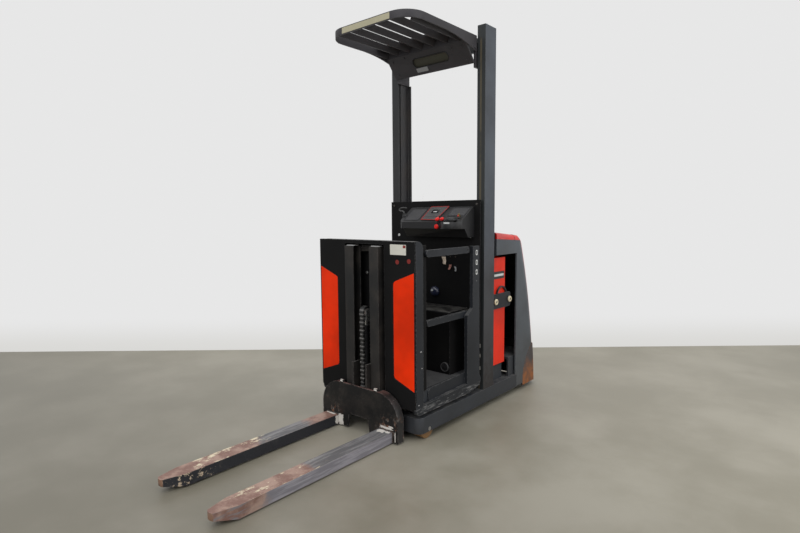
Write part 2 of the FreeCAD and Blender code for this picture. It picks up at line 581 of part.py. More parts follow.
def makeSideFrames():
    """The side plates: a post, a sill and a rear panel, with a thin riser plate along the floor."""
    front, rear = along(s.frontSkin) + s.panelSeam, along(s.sillHeel)
    post = along(s.postWidth)
    low, sill = s.sillBottom, s.sillBottom + s.sillHeight
    curve = s.postCorner * (1 - 0.5 ** 0.5)
    outline = [(front, low), (along(s.sillHeelLow), low), (rear - s.sillRise, low + s.sillHeelRise),
               (rear, sill), (rear, sill + s.sillHeelRise), (along(s.sideRear), sill + s.sillHeelRise * 2),
               (along(s.sideRearTop), s.sidePanelTop), (along(s.panelFront), s.sidePanelTop),
               (along(s.panelFront), s.notchTop), (along(s.panelFrontLow), s.notchLow),
               (along(s.panelFrontLow), sill + s.sillRise), (post, sill), (post, s.cabTop - s.postCorner),
               ((post - curve, s.cabTop - curve), (post - s.postCorner, s.cabTop)), (front, s.cabTop)]
    inner = s.halfWidth - s.sideSheet
    top = s.floorTop + s.linerRise
    bend = s.linerDepth * (1 - 0.5 ** 0.5)
    liner = [(along(s.linerPlace), sill - s.sillRise), (along(s.panelFrontLow) + s.sillRise, sill),
             (along(s.panelFrontLow) + s.sillRise, top + s.linerRise),
             (along(s.linerPlace) + s.linerDepth, top),
             ((along(s.linerPlace) + bend, top - bend), (along(s.linerPlace), top - s.linerDepth))]
    for side, sign in sides():
        plate = prism("sideSharp" + side, "YZ", outline, *spread(sign, inner, s.halfWidth))
        corner = rounded("sideCorner" + side, plate, s.lowCorner,
                         lambda middle, way: middle.y < front.number + 1 and middle.z < low.number + 1)
        riser = prism("sideRiser" + side, "YZ", liner, *spread(sign, inner - s.linerSheet, inner + 1))
        node("side_frame_" + side, fuse("side_frame_" + side, corner, riser))


def makeRearWall():
    inner = s.halfWidth - s.sideSheet / 2
    front = along(s.rearWallPlace)
    wall = box("wallSheet", (-inner, front, s.cabBottom), (inner, front + s.rearWallSheet, s.ledgeHeight))
    ledgeHalf = s.halfWidth - s.columnWidth - s.moveGap * 1.5 - s.innerLip
    ledge = box("wallLedge", (-ledgeHalf, front, s.ledgeHeight - s.ledgeSheet),
                (ledgeHalf, screenPlace() + s.screenSheet, s.ledgeHeight))
    node("rear_wall", fuse("rear_wall", wall, ledge))


def screenPlace():
    return along(s.columnPlace) + s.columnDepth - s.columnFlange - s.moveGap + s.panelSeam


def makeInnerMast():
    """Two profiles that run inside the columns, joined by two cross beams."""
    front = along(s.columnPlace) + s.columnFlange + s.moveGap
    rear = along(s.columnPlace) + s.columnDepth - s.columnFlange - s.moveGap
    inner = s.halfWidth - s.columnWidth - s.moveGap
    outer = s.halfWidth - s.columnWeb - s.moveGap
    solids = []
    for side, sign in sides():
        wall = s.innerWall
        outline = [(sign * inner, front), (sign * outer, front), (sign * outer, front + wall),
                   (sign * (inner + wall), front + wall), (sign * (inner + wall), rear - wall),
                   (sign * outer, rear - wall), (sign * outer, rear),
                   (sign * (inner - s.innerLip), rear), (sign * (inner - s.innerLip), rear - s.innerLipSheet),
                   (sign * inner, rear - s.innerLipSheet)]
        solids.append(prism("innerProfile" + side, "XY", outline, s.innerBottom, s.innerTop))
    depth = s.innerBeamDepth / 2
    middle = along(s.cylinderPlace)
    low = innerBeamLow()
    for number, start in enumerate((low,)):
        solids.append(box("innerBeam%d" % number, (-inner, middle - depth, start),
                          (inner, middle + depth, start + s.innerBeamHeight)))
    node("inner_mast", fuse("inner_mast", *solids))
    pads = []
    channelFront = along(s.columnPlace) + s.columnFlange + s.railGap
    channelRear = along(s.columnPlace) + s.columnDepth - s.columnFlange - s.railGap
    for side, sign in sides():
        x0, x1 = spread(sign, inner + wall + s.moveGap, outer - s.moveGap / 2)
        for number, z0 in enumerate((s.innerBottom, s.innerTop - s.padHeight)):
            pads.append(box("padFront%s%d" % (side, number), (x0, channelFront, z0),
                            (x1, front - s.panelSeam, z0 + s.padHeight)))
            pads.append(box("padRear%s%d" % (side, number), (x0, rear + s.panelSeam, z0),
                            (x1, channelRear, z0 + s.padHeight)))
    node("guide_pads", group("guide_pads", *pads))


def makeScreen():
    low = s.ledgeHeight + s.panelSeam
    place = screenPlace()
    node("screen", box("screen", (-s.screenHalf, place, low), (s.screenHalf, place + s.screenSheet, s.screenTop)))


def guardRing(name, inset, low, top):
    """The overhead guard's plan form: square at the mast, rounded at the front corners."""
    half, front, rear = s.guardHalf - inset, along(s.guardFront) + inset, along(s.guardRear)
    radius = s.guardCorner - inset
    bend = radius * (1 - 0.5 ** 0.5)
    outline = [(half, rear), (-half, rear), (-half, front + radius),
               ((-half + bend, front + bend), (-half + radius, front)), (half - radius, front),
               ((half - bend, front + bend), (half, front + radius))]
    return prism(name, "XY", outline, low, top)


def makeGuard():
    low, top = s.guardTop - s.guardLip, s.guardTop
    rear = along(s.guardRear)
    sheet = s.guardSheet
    reach = s.guardHalf + 1
    tall = cut("guardTall", guardRing("guardOuter", sizeOf(0), s.flangeLow, top),
               guardRing("guardInner", sheet, s.flangeLow - 1, top + 1))
    start = along(s.flangeStart)
    bend = (start + (rear - start) * 0.55, low - (low - s.flangeLow) * 0.26)
    under = prism("guardUnder", "YZ", [(start, low), (bend, (rear + 1, s.flangeLow)),
                                       (rear + 1, s.flangeLow - sheet), (along(0), s.flangeLow - sheet),
                                       (along(0), low)], -reach, reach)
    inner = s.guardHalf - sheet
    roof = box("guardRoof", (-inner - 1, along(s.guardRoofFront), top - sheet), (inner + 1, rear, top))
    plateTop, plateLow = along(s.guardPlateTop), along(s.guardPlatePlace)
    plate = prism("guardPlate", "YZ", [(plateTop, top - 1), (plateTop, s.guardBendHeight),
                                       (plateLow, s.guardPlateLow), (plateLow + sheet, s.guardPlateLow),
                                       (plateLow + sheet, s.guardPlateLow + sheet),
                                       (plateTop + sheet, s.guardBendHeight + sheet),
                                       (plateTop + sheet, top - 1)], -inner - 1, inner + 1)
    half, tallHalf = s.ovalHalfLength - s.ovalHalfHeight, s.ovalHalfHeight
    oval = [rod("ovalEnd" + side, (s.ovalShift + sign * half, plateTop - 1, s.ovalPlace), tallHalf,
                plateLow - plateTop + sheet, "Y") for side, sign in sides()]
    oval.append(box("ovalMiddle", (s.ovalShift - half, plateTop - 1, s.ovalPlace - tallHalf),
                    (s.ovalShift + half, plateLow + sheet - 1, s.ovalPlace + tallHalf)))
    earOuter = s.halfWidth - s.columnWidth - s.moveGap - s.panelSeam
    earRear = along(s.columnPlace) + s.columnDepth - s.columnFlange - s.moveGap - s.innerLipSheet
    ears = [sideBox("guardEar" + side, sign, earOuter - s.earSheet, earOuter, along(s.earPlace),
                    earRear - s.panelSeam, s.innerTop + s.panelSeam, s.earTop) for side, sign in sides()]
    whole = fuse("guardWhole", cut("guardLips", tall, under), roof, cut("guardSlope", plate, *oval), *ears)
    node("guard_frame", whole)
    makeBlades(inner, low, top - sheet - s.panelSeam, plateTop - s.panelSeam)


def makeBlades(inner, low, top, rear):
    """A row of thin blades along the guard, the outermost pair hung a little lower."""
    blades = []
    count = int((2 * inner.number - s.bladeSheet.number) // s.bladePitch.number) // 2
    for number in range(-count, count + 1):
        middle = s.bladePitch * number
        drop = s.outerBladeDrop if abs(number) == count else sizeOf(0)
        blades.append(box("blade%d" % (number + count),
                          (middle - s.bladeSheet / 2, along(s.guardFront) + s.guardSheet + s.panelSeam, low - drop),
                          (middle + s.bladeSheet / 2, rear, top)))
    shape = guardRing("bladeTrim", s.guardSheet + s.panelSeam, low - s.outerBladeDrop - 1, top + 1)
    node("guard_blades", common("guard_blades", group("bladeRow", *blades), shape))


def makeConsole():
    """The moulded console: its plan form, with a round lobe at the right, under a sloping top."""
    left, right = s.consoleLeft, s.consoleRight
    front, back = along(s.consoleFront), along(s.consoleBack)
    wall = along(s.rearWallPlace) - s.panelSeam
    lobe, side = along(s.lobeFront), along(s.lobeSide)
    turn = s.armCorner * (1 - 0.5 ** 0.5)
    start = s.lobePlace - (right - s.lobePlace)
    plan = prism("consolePlan", "XY", [
        (left, wall), (left, front + s.armCorner), ((left + turn, front + turn), (left + s.armCorner, front)),
        (start, front), ((s.lobePlace, lobe), (right, side)), (right, wall)], s.consoleLow, s.consoleRise)
    drop = s.consoleLipTop - s.consoleLip
    profile = prism("consoleProfile", "YZ", [
        (lobe - 1, s.consoleLip), (lobe - 1, s.consoleLipTop), (front, s.consoleLipTop),
        (back, s.consoleRise - 1), (wall + 1, s.consoleRise - 1), (wall + 1, s.consoleLow + 1),
        (front + drop * 2, s.consoleLow + 1), (front + drop, s.consoleLip)], left - 1, right + 1)
    body = common("consoleBody", plan, profile)
    pocket = rod("consolePocket", (s.domePlace, front, s.consoleLipTop), s.domeRadius + s.fitGap * 40, drop)
    node("console", cut("console", body, pocket))

    def onTop(share, lift):
        """A point on the sloping top, raised square to it."""
        return (front + (back - front) * share, s.consoleLipTop + (s.consoleRise - s.consoleLipTop) * share + lift)

    slab = prism("padSlab", "YZ", [onTop(s.padLow, s.panelSeam), onTop(s.padHigh, s.panelSeam),
                                   onTop(s.padHigh, s.moveGap), onTop(s.padLow, s.moveGap)],
                 s.padLeft - s.padSlant - 1, s.padRight + s.padSlant + 1)
    y0, y1 = onTop(s.padLow, sizeOf(0))[0] - 1, onTop(s.padHigh, sizeOf(0))[0] + 1
    shape = prism("padShape", "XY", [(s.padLeft, y0), (s.padRight, y0), (s.padRight + s.padSlant / 3, y1),
                                     (s.padLeft - s.padSlant, y1)], s.consoleLipTop, s.consoleRise + s.moveGap)
    node("display_pad", common("display_pad", slab, shape))


def makeControls():
    """Knobs on the sloping top, from a table, and the steering dome in its pocket."""
    front, back = along(s.consoleFront), along(s.consoleBack)
    rise = s.consoleRise - s.consoleLipTop
    pieces = []
    for name, x, share, radius, height, cap, capHeight in controlTable:
        place = front + (back - front) * share
        foot = s.consoleLipTop + rise * share + rise / (back - front) * radius + s.panelSeam
        stem = rod(name + "Stem", (x, place, foot), radius, height)
        top = rod(name + "Cap", (x, place, foot + height - 1), cap, capHeight)
        pieces.append(fuse(name, stem, top))
    foot = s.consoleLipTop + s.panelSeam
    neck = rod("steerNeck", (s.domePlace, front, foot), s.domeRadius * 0.6, s.domeHeight / 2)
    dome = rod("steerDome", (s.domePlace, front, foot + s.domeHeight / 2 - 1), s.domeRadius, s.domeHeight)
    pieces.append(fuse("steerWhole", neck, dome))
    node("console_controls", group("console_controls", *pieces))


# Controls on the console: place across, share of the slope, stem radius and height, cap radius and height.
controlTable = [
    ("liftKnob", 153, 0.07, 5, 6, 10, 12),
    ("stopKnob", 196, 0.1, 6, 8, 13, 14),
    ("keySwitch", 325, 0.72, 8, 12, 12, 6),
    ("handleKnob", -160, 0.6, 7, 26, 15, 22),
]


def channelPlaces():
    front = along(s.channelSetback)
    return front, front + s.channelDepth, s.channelOuter - s.channelWidth, s.channelOuter


def makeLiftMast():
    """Two uprights that stand proud of the panel, tied behind at both ends, and the cylinder between."""
    front, rear, inner, outer = channelPlaces()
    sheet = s.channelSheet
    top = s.recessTop - s.mastTopGap
    back = along(s.recessDepth) - s.panSheet - s.panelSeam
    parts = []
    for side, sign in sides():
        outline = [(sign * inner, front), (sign * outer, front), (sign * outer, rear), (sign * inner, rear),
                   (sign * inner, rear - sheet), (sign * (outer - sheet), rear - sheet),
                   (sign * (outer - sheet), front + sheet), (sign * inner, front + sheet)]
        parts.append(prism("mastRail" + side, "XY", outline, s.channelBottom, top))
        for end, place in (("High", top - s.tieHeight), ("Low", s.channelBottom)):
            parts.append(sideBox("mastSpacer" + side + end, sign, inner, outer, rear - 1,
                                 along(s.tiePlace) + 1, place, place + s.tieHeight))
    for end, place in (("High", top - s.tieHeight), ("Low", s.channelBottom)):
        parts.append(box("mastTie" + end, (-outer, along(s.tiePlace), place), (outer, back, place + s.tieHeight)))
    node("fork_mast", fuse("fork_mast", *parts))
    half = inner - s.rollerSideGap - s.uprightSheet - s.moveGap
    middle = (s.liftPlace, along(s.liftDepth))
    foot = box("mastFoot", (-half, along(s.liftDepth) - s.liftRadius, s.channelBottom),
               (half, along(s.tiePlace) - s.panelSeam, s.channelBottom + s.liftFloor))
    tube = rod("liftPipe", (*middle, s.channelBottom), s.liftRadius, s.liftTop - s.channelBottom)
    bore = rod("liftPipeBore", (*middle, s.channelBottom + s.liftFloor * 2), s.liftBore, s.liftTop)
    node("fork_cylinder", cut("fork_cylinder", fuse("liftPipeBody", tube, foot), bore))


def makeChain():
    """The lift head on its rod, the chain pulley between its cheeks and the leaf chain around it."""
    middle, head = along(s.liftDepth), s.pulleyPlace
    low = s.channelBottom + s.liftFloor * 2 + s.moveGap
    yokeTop = head - s.pulleyRadius - s.moveGap
    yokeLow = yokeTop - s.yokeHeight
    bar = rod("headRod", (s.liftPlace, middle, low), s.liftRod, yokeTop - low)
    gap = s.chainWidth / 2 + s.cheekGap
    parts = [bar, box("headYoke", (-gap - s.cheekSheet, middle - s.chainAxle * 2, yokeLow),
                      (gap + s.cheekSheet, middle + s.chainAxle * 2, yokeTop))]
    for side, sign in sides():
        parts.append(sideBox("headCheek" + side, sign, gap, gap + s.cheekSheet, middle - s.chainAxle * 2,
                             middle + s.chainAxle * 2, yokeLow, head + s.chainAxle * 2))
    parts.append(rod("headAxle", (-gap - 1, middle, head), s.chainAxle, gap * 2 + 2, "X"))
    node("lift_head", fuse("lift_head", *parts))
    start = s.chainPlace - s.chainWidth / 2
    wheel = rod("pulleyDisc", (start, middle, head), s.pulleyRadius - s.panelSeam, s.chainWidth, "X")
    hole = rod("pulleyHole", (start - 1, middle, head), s.chainAxle + s.fitGap, s.chainWidth + 2, "X")
    node("chain_pulley", cut("chain_pulley", wheel, hole))
    node("lift_chain", fuse("lift_chain", *chainLinks(start, middle, head)))


def chainLinks(start, middle, head):
    """A leaf chain: wide and narrow links in turn, round at both ends, and a bow over the pulley."""
    size = s.pulleyRadius + s.chainSheet
    outer = rod("bowOuter", (start, middle, head), size, s.chainWidth, "X")
    inner = rod("bowInner", (start - 1, middle, head), s.pulleyRadius, s.chainWidth + 2, "X")
    half = box("bowHalf", (start - 1, middle - size - 1, head - size - 1),
               (start + s.chainWidth + 1, middle + size + 1, head))
    pieces = [cut("chainBow", outer, inner, half)]
    count = int((head.number - s.chainEnd.number) // s.chainPitch.number)
    core = s.chainWidth * s.chainCore
    joint = s.chainPitch * s.chainJoint
    for strand, y0, y1 in (("Front", middle - size, middle - s.pulleyRadius),
                           ("Back", middle + s.pulleyRadius, middle + size)):
        pieces.append(box("chainCore" + strand, (start + core, y0 + s.panelSeam * 4, head - s.chainPitch * count),
                          (start + s.chainWidth - core, y1 - s.panelSeam * 4, head + 1)))
    bend = s.chainSheet / 2
    for number in range(count):
        top = head - s.chainPitch * number - joint
        low = top - s.chainPitch + joint
        y0, y1 = middle - size, middle - s.pulleyRadius
        outline = [(y0, low + bend), ((y0 + bend, low), (y1, low + bend)), (y1, top - bend),
                   ((y0 + bend, top), (y0, top - bend))]
        narrow = s.chainWidth * (s.chainStep if number % 2 else sizeOf(0))
        pieces.append(prism("link%d" % number, "YZ", outline, start + narrow, start + s.chainWidth - narrow))
    return pieces


def makeCarriage():
    plateFront = along(-s.plateFront)
    plateBack = plateFront + s.plateSheet
    half, top, low = s.plateHalf, s.plateTop, s.plateBottom
    flat, corner = s.plateFlat, s.plateCorner
    notch = s.plateNotch
    rightArc = ((s.plateShoulder, s.plateShoulderHeight), (flat, top))
    leftArc = ((-s.plateShoulder, s.plateShoulderHeight), (-half, corner))
    lugIn, lugOut = s.channelOuter - s.uprightSheet / 2, s.channelOuter + s.lugSheet
    lugTop = top + s.lugSheet
    rim = [(half, low), (half, corner), rightArc, (lugOut, top), (lugOut, lugTop), (lugIn, lugTop), (lugIn, top),
           (-lugIn, top), (-lugIn, lugTop), (-lugOut, lugTop), (-lugOut, top), (-flat, top), leftArc, (-half, low),
           (-notch, low), (-notch + s.plateSheet, s.plateNotchTop), (notch - s.plateSheet, s.plateNotchTop),
           (notch, low)]
    plain = [(half, low), (half, corner), rightArc, (-flat, top), leftArc, (-half, low)]
    sheet = prism("plateSheetPart", "XZ", rim, plateFront, plateBack)
    rimRear = plateFront + s.plateRim
    deep = prism("plateDeep", "XZ", plain, plateBack - 1, rimRear)
    inside = s.rimWall
    hollow = prism("plateHollow", "XZ", [
        (half - inside, low - 1), (half - inside, corner),
        ((s.plateShoulder - inside, s.plateShoulderHeight - inside), (flat, top - inside)), (-flat, top - inside),
        ((-s.plateShoulder + inside, s.plateShoulderHeight - inside), (-half + inside, corner)),
        (-half + inside, low - 1)], plateBack - 2, rimRear + 1)
    gap = box("plateGap", (-s.rimGap, plateBack, low - 1), (s.rimGap, rimRear + 1, top + 1))
    node("fork_plate", fuse("fork_plate", sheet, cut("plateRimPart", deep, hollow, gap)))
    front, rear, inner, outer = channelPlaces()
    barOuter = inner - s.rollerSideGap
    barInner = barOuter - s.uprightSheet
    tieLow = s.frameBottom + s.frameHeight + s.moveGap
    footInner = s.chainWidth / 2 + s.moveGap
    seat = plateBack + s.panelSeam
    parts = []
    for side, sign in sides():
        parts.append(sideBox("upright" + side, sign, barInner, barOuter, seat, rear, tieLow, s.uprightTop))
        parts.append(sideBox("uprightFoot" + side, sign, footInner, barInner + 1, seat,
                             seat + s.hingeSheet, tieLow, tieLow + s.tieHeight))
        reach = outer - s.channelSheet - s.panelSeam
        radius = (s.channelDepth - 2 * s.channelSheet) / 2 - s.railGap
        for number, height in enumerate((s.rollerLow, s.rollerHigh)):
            x0, x1 = spread(sign, barOuter - 1, reach)
            parts.append(rod("roller%s%d" % (side, number), (x0, front + s.channelDepth / 2, height),
                             radius, x1 - x0, "X"))
    node("carriage_frame", group("carriage_frame", *[fuse("carriage" + side, *parts[start:start + 4])
                                                     for side, start in (("Left", 0), ("Right", 4))]))


def makeForks():
    rear = along(-s.plateFront) - s.panelSeam
    tip = along(-s.forkReach)
    taper = tip + s.forkTaper
    for side, sign in sides():
        outer, inner = s.forkOuter, s.forkOuter - s.forkWidth
        middle = s.forkOuter - s.forkWidth / 2
        nose = s.forkTip / 2
        blunt = tip + nose * 0.35
        outline = [(sign * outer, rear), (sign * inner, rear), (sign * inner, taper),
                   (sign * (middle - nose), blunt), ((sign * middle, tip), (sign * (middle + nose), blunt)),
                   (sign * outer, taper)]
        bar = prism("forkBar" + side, "XY", outline, s.forkBottom, s.forkTop)
        wall = s.forkSheet
        hollow = sideBox("forkHollow" + side, sign, inner + wall, outer - wall, taper, rear - wall * 2,
                         s.forkBottom - 1, s.forkTop - wall)
        ramp = prism("forkRamp" + side, "YZ", [(tip - 1, s.forkBottom - 1), (taper, s.forkBottom - 1),
                                               (tip - 1, s.forkBottom + (s.forkTop - s.forkBottom) * 0.45)],
                     *spread(sign, inner - 1, outer + 1))
        node("fork_" + side, cut("fork_" + side, bar, hollow, ramp))


def makeGates():
    for side, sign in sides():
        inner = s.halfWidth - s.sideSheet
        outer = inner + s.railSheet
        makeRail("gate_rail_" + side, sign, inner, outer, s.railHeight, s.railPlace, s.railFront, s.railHinge)
        barOuter = inner - s.moveGap
        makeRail("gate_bar_" + side, sign, barOuter - s.barSheet, barOuter, s.barHeight, s.barPlace,
                 s.barFront, s.barHinge)
    hinges = []
    for side, sign in sides():
        inner = s.halfWidth - s.sideSheet
        hinges += hinge("railHinge" + side, sign, inner, inner, inner + s.railSheet, s.railHeight,
                        s.railPlace, s.railHinge, s.panelFront)
        barOuter = inner - s.moveGap
        hinges += hinge("barHinge" + side, sign, inner, barOuter - s.barSheet, barOuter, s.barHeight,
                        s.barPlace, s.barHinge, s.panelFront)
    node("gate_hinges", group("gate_hinges", *hinges))


def makeRail(name, sign, inner, outer, height, place, front, pivot):
    """A side rail: a flat bar, round at both ends, bored for its hinge pin."""
    y0, y1, half = along(front) + height / 2, along(pivot), height / 2
    x0, x1 = spread(sign, inner, outer)
    outline = [(y1, place - half), ((y1 + half, place), (y1, place + half)), (y0, place + half),
               ((y0 - half, place), (y0, place - half))]
    bar = prism(name + "Bar", "YZ", outline, x0, x1)
    bore = rod(name + "Bore", (x0 - 1, y1, sizeOf(place)), s.hingePin + s.fitGap, x1 - x0 + 2, "X")
    node(name, cut(name, bar, bore))


def hinge(name, sign, seat, inner, outer, height, place, pivot, panelFront):
    """A bracket on the side frame's inner face, with the pin that the rail turns on."""
    plateOuter = inner - s.fitGap * 20
    half = height / 2
    rear = along(panelFront) + s.matInset * 2
    x0, x1 = spread(sign, plateOuter - s.hingeSheet, plateOuter)
    plate = box(name + "Plate", (x0, along(pivot) - half, place - half), (x1, rear, place + half))
    clear = along(pivot) + half + s.moveGap
    s0, s1 = spread(sign, plateOuter - 1, seat - s.panelSeam)
    seatBlock = box(name + "Seat", (s0, clear, place - half), (s1, rear, place + half))
    p0, p1 = spread(sign, plateOuter - 1, outer)
    pin = rod(name + "Pin", (p0, along(pivot), sizeOf(place)), s.hingePin, p1 - p0, "X")
    return [fuse(name, plate, seatBlock, pin)]


def makeLatches():
    """The battery's side locks: a bracket at the door's front post with two ring buttons and a loop handle."""
    front = along(s.batteryDoorFront) + s.latchSetback
    outer = s.batteryHalfWidth + s.panelSeam
    pieces = []
    for side, sign in sides():
        x0, x1 = spread(sign, outer, outer + s.latchSheet)
        low, top = s.latchPlace - s.latchHeight / 2, s.latchPlace + s.latchHeight / 2
        rear = front + s.latchLength
        bend, notch = (front + rear) / 2, s.latchButton / 2
        plate = prism("latchPlate" + side, "YZ", [
            (front, low), (rear - notch, low), (rear, low + notch), (rear, top - notch), (rear - notch, top),
            (front, top)], x0, x1)
        parts = [plate]
        for number, place in enumerate((front + s.latchButton, rear - s.latchButton)):
            b0, b1 = spread(sign, outer + s.latchSheet - 1, outer + s.latchSheet + s.latchButton / 2)
            button = rod("latchButton%s%d" % (side, number), (b0, place, s.latchPlace), s.latchRing, b1 - b0, "X")
            c0, c1 = spread(sign, outer + s.latchSheet + s.latchButton / 4, outer + s.latchSheet + s.latchButton)
            dish = rod("latchDish%s%d" % (side, number), (c0, place, s.latchPlace), s.latchRing / 2, c1 - c0, "X")
            parts.append(cut("latchRing%s%d" % (side, number), button, dish))
        strap, reach = s.latchStrap, s.latchReach
        arch = prism("latchArch" + side, "YZ", [(bend + reach, top - strap),
                                                ((bend, top + s.latchRise), (bend - reach, top - strap))], x0, x1)
        hole = prism("latchHole" + side, "YZ", [(bend + reach - strap, top),
                                                ((bend, top + s.latchRise - strap),
                                                 (bend - reach + strap, top))], x0 - 1, x1 + 1)
        parts.append(cut("latchLoop" + side, arch, hole))
        pieces.append(fuse("latch" + side, *parts))
    node("battery_latches", group("battery_latches", *pieces))


def check(name, thing):
    shape = thing.Shape
    if shape.isNull() or not shape.isValid() or not shape.Solids:
        raise RuntimeError("%s has no valid solid" % name)
    return shape


def writeParts():
    doc.recompute()
    for thing in doc.Objects:
        if "Invalid" in thing.State or "Error" in thing.State:
            raise RuntimeError("%s failed: %s" % (thing.Name, thing.State))
    os.makedirs("parts", exist_ok=True)
    for name, thing in nodes:
        check(name, thing).exportStep("parts/%s.step" % name)
        print(name, len(thing.Shape.Solids), round(thing.Shape.Volume))


for make in (makeBaseFrame, makeLoadWheels, makeMast, makeHousing, makeSkirt, makeBattery, makeLatches,
             makeLiftCylinder, makeDrive, makeCabFloor, makeCabFront, makeSideFrames, makeRearWall,
             makeInnerMast, makeScreen, makeGuard, makeConsole, makeControls, makeLiftMast,
             makeChain, makeCarriage, makeForks, makeGates):
    make()
writeParts()
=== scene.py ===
import bpy
import bmesh
import math
import random
from mathutils import Matrix, Vector


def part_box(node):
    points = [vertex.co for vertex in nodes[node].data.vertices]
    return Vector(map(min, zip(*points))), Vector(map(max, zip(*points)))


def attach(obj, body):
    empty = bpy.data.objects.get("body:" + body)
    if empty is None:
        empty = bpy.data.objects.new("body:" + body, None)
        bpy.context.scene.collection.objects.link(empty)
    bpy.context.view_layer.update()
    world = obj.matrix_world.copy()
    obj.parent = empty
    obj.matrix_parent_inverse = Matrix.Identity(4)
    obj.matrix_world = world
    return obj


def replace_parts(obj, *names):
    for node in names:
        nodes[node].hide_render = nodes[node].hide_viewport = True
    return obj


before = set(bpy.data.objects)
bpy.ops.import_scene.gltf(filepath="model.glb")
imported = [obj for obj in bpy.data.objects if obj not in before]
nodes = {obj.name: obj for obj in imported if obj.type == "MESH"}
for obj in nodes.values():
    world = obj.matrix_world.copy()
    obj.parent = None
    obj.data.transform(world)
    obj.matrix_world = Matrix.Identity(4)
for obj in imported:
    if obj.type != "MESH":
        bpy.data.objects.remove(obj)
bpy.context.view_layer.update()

random.seed(7)
xAxis, yAxis, zAxis = Vector((1, 0, 0)), Vector((0, 1, 0)), Vector((0, 0, 1))


def box(name):
    low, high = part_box(name)
    return Vector(low), Vector(high)


# Shader nodes

tree = {}       # the node tree that the calls below add to


def newMaterial(name):
    material = bpy.data.materials.new(name)
    material.use_nodes = True
    tree["now"] = material.node_tree
    return material


def newSurface(name):
    # a material and the inputs of its shader
    material = newMaterial(name)
    return material, material.node_tree.nodes["Principled BSDF"].inputs


def addNode(kind, settings=None, **inputs):
    node = tree["now"].nodes.new(kind)
    for name, value in (settings or {}).items():
        setattr(node, name, value)
    for name, value in inputs.items():
        feed(node.inputs[int(name[1:]) if name[0] == "i" and name[1:].isdigit() else name], value)
    return node


def feed(socket, value):
    if isinstance(value, bpy.types.NodeSocket):
        tree["now"].links.new(value, socket)
    elif socket.type == "RGBA" and len(value) == 3:
        socket.default_value = (*value, 1)
    else:
        socket.default_value = value


def calc(operation, first, second=0.0, clamp=False):
    settings = {"operation": operation, "use_clamp": clamp}
    return addNode("ShaderNodeMath", settings, i0=first, i1=second).outputs[0]


def times(first, *others, clamp=False):
    for other in others:
        first = calc("MULTIPLY", first, other, clamp)
    return first


def plus(first, second, clamp=False):
    return calc("ADD", first, second, clamp)


def minus(first, second):
    return calc("SUBTRACT", first, second)


def ramp(value, low, high):
    node = addNode("ShaderNodeMapRange", {"interpolation_type": "SMOOTHSTEP"}, Value=value)
    feed(node.inputs["From Min"], low)
    feed(node.inputs["From Max"], high)
    return node.outputs["Result"]


def noise(place, scale, detail=4.0, rough=0.55):
    return addNode("ShaderNodeTexNoise", {"noise_dimensions": "3D"}, Vector=place, Scale=scale, Detail=detail,
                   Roughness=rough).outputs["Fac"]


def mix(share, first, second):
    return addNode("ShaderNodeMix", {"data_type": "RGBA"}, i0=share, i6=first, i7=second).outputs[2]


def vectorMath(operation, first, second):
    return addNode("ShaderNodeVectorMath", {"operation": operation}, i0=first, i1=second).outputs


def stretch(place, scale):
    return vectorMath("MULTIPLY", place, scale)[0]


def parts(vector):
    return addNode("ShaderNodeSeparateXYZ", None, i0=vector).outputs


def objectPlace():
    return addNode("ShaderNodeTexCoord").outputs["Object"]


def geometry(name):
    return addNode("ShaderNodeNewGeometry").outputs[name]


def facing(axis):
    return parts(geometry("Normal"))[axis]


def newGroup(name, inputs, outputs):
    # a shader node group with float inputs and named outputs
    tree["now"] = bpy.data.node_groups.new(name, "ShaderNodeTree")
    sockets = tree["now"].interface
    for label, value in inputs.items():
        sockets.new_socket(label, in_out="INPUT", socket_type="NodeSocketFloat").default_value = value
    for label in outputs:
        sockets.new_socket(label, in_out="OUTPUT", socket_type="NodeSocketFloat")
    return addNode("NodeGroupInput").outputs, addNode("NodeGroupOutput").inputs


# Camera, lights and the pale room

camera = {"place": (2.2736, -2.4982, 1.3345), "yaw": 40.535, "pitch": -5.545, "roll": -0.471,
          "lens": 24.046, "sensor": 36, "reach": 200}
lights = {
    "ceiling": {"place": (0.9, -1.2, 6.0), "aim": (0, 0.2, 0.4), "spread": 80, "power": 1.75},
    "frontFill": {"place": (1.2, -4.6, 2.6), "aim": (0, 0, 0.9), "size": 3.4, "power": 84},
    "sideFill": {"place": (4.6, 0.4, 2.8), "aim": (0, 0.3, 0.9), "size": 3.4, "power": 90},
    "backFill": {"place": (-3.0, 3.4, 3.4), "aim": (0, 0.4, 1.0), "size": 3.0, "power": 56},
}
room = {"floorSize": 40, "floorColor": (0.296, 0.277, 0.226), "floorWear": (0.212, 0.196, 0.150),
        "floorNearShade": 0.66, "floorShadeRun": (0.7, -1.9), "floorRough": (0.42, 0.12),
        "wallColor": (0.80, 0.80, 0.80), "wallFoot": (0.70, 0.695, 0.675), "footHeight": 0.35,
        "wallLeft": (-4.18, -1.12), "wallRight": (1.90, 4.09), "wallHeight": 7.0, "wallRuns": 3,
        "world": (0.86, 0.865, 0.88), "worldStrength": 0.38, "worldSeen": 0.95}


def addCamera():
    data = bpy.data.cameras.new("camera")
    data.lens = camera["lens"]
    data.sensor_width = camera["sensor"]
    data.sensor_fit = "HORIZONTAL"
    data.clip_end = camera["reach"]
    seen = bpy.data.objects.new("camera", data)
    turn = (Matrix.Rotation(math.radians(camera["yaw"]), 4, "Z")
            @ Matrix.Rotation(math.radians(90 + camera["pitch"]), 4, "X")
            @ Matrix.Rotation(math.radians(camera["roll"]), 4, "Z"))
    seen.matrix_world = Matrix.Translation(camera["place"]) @ turn
    bpy.context.collection.objects.link(seen)
    bpy.context.scene.camera = seen


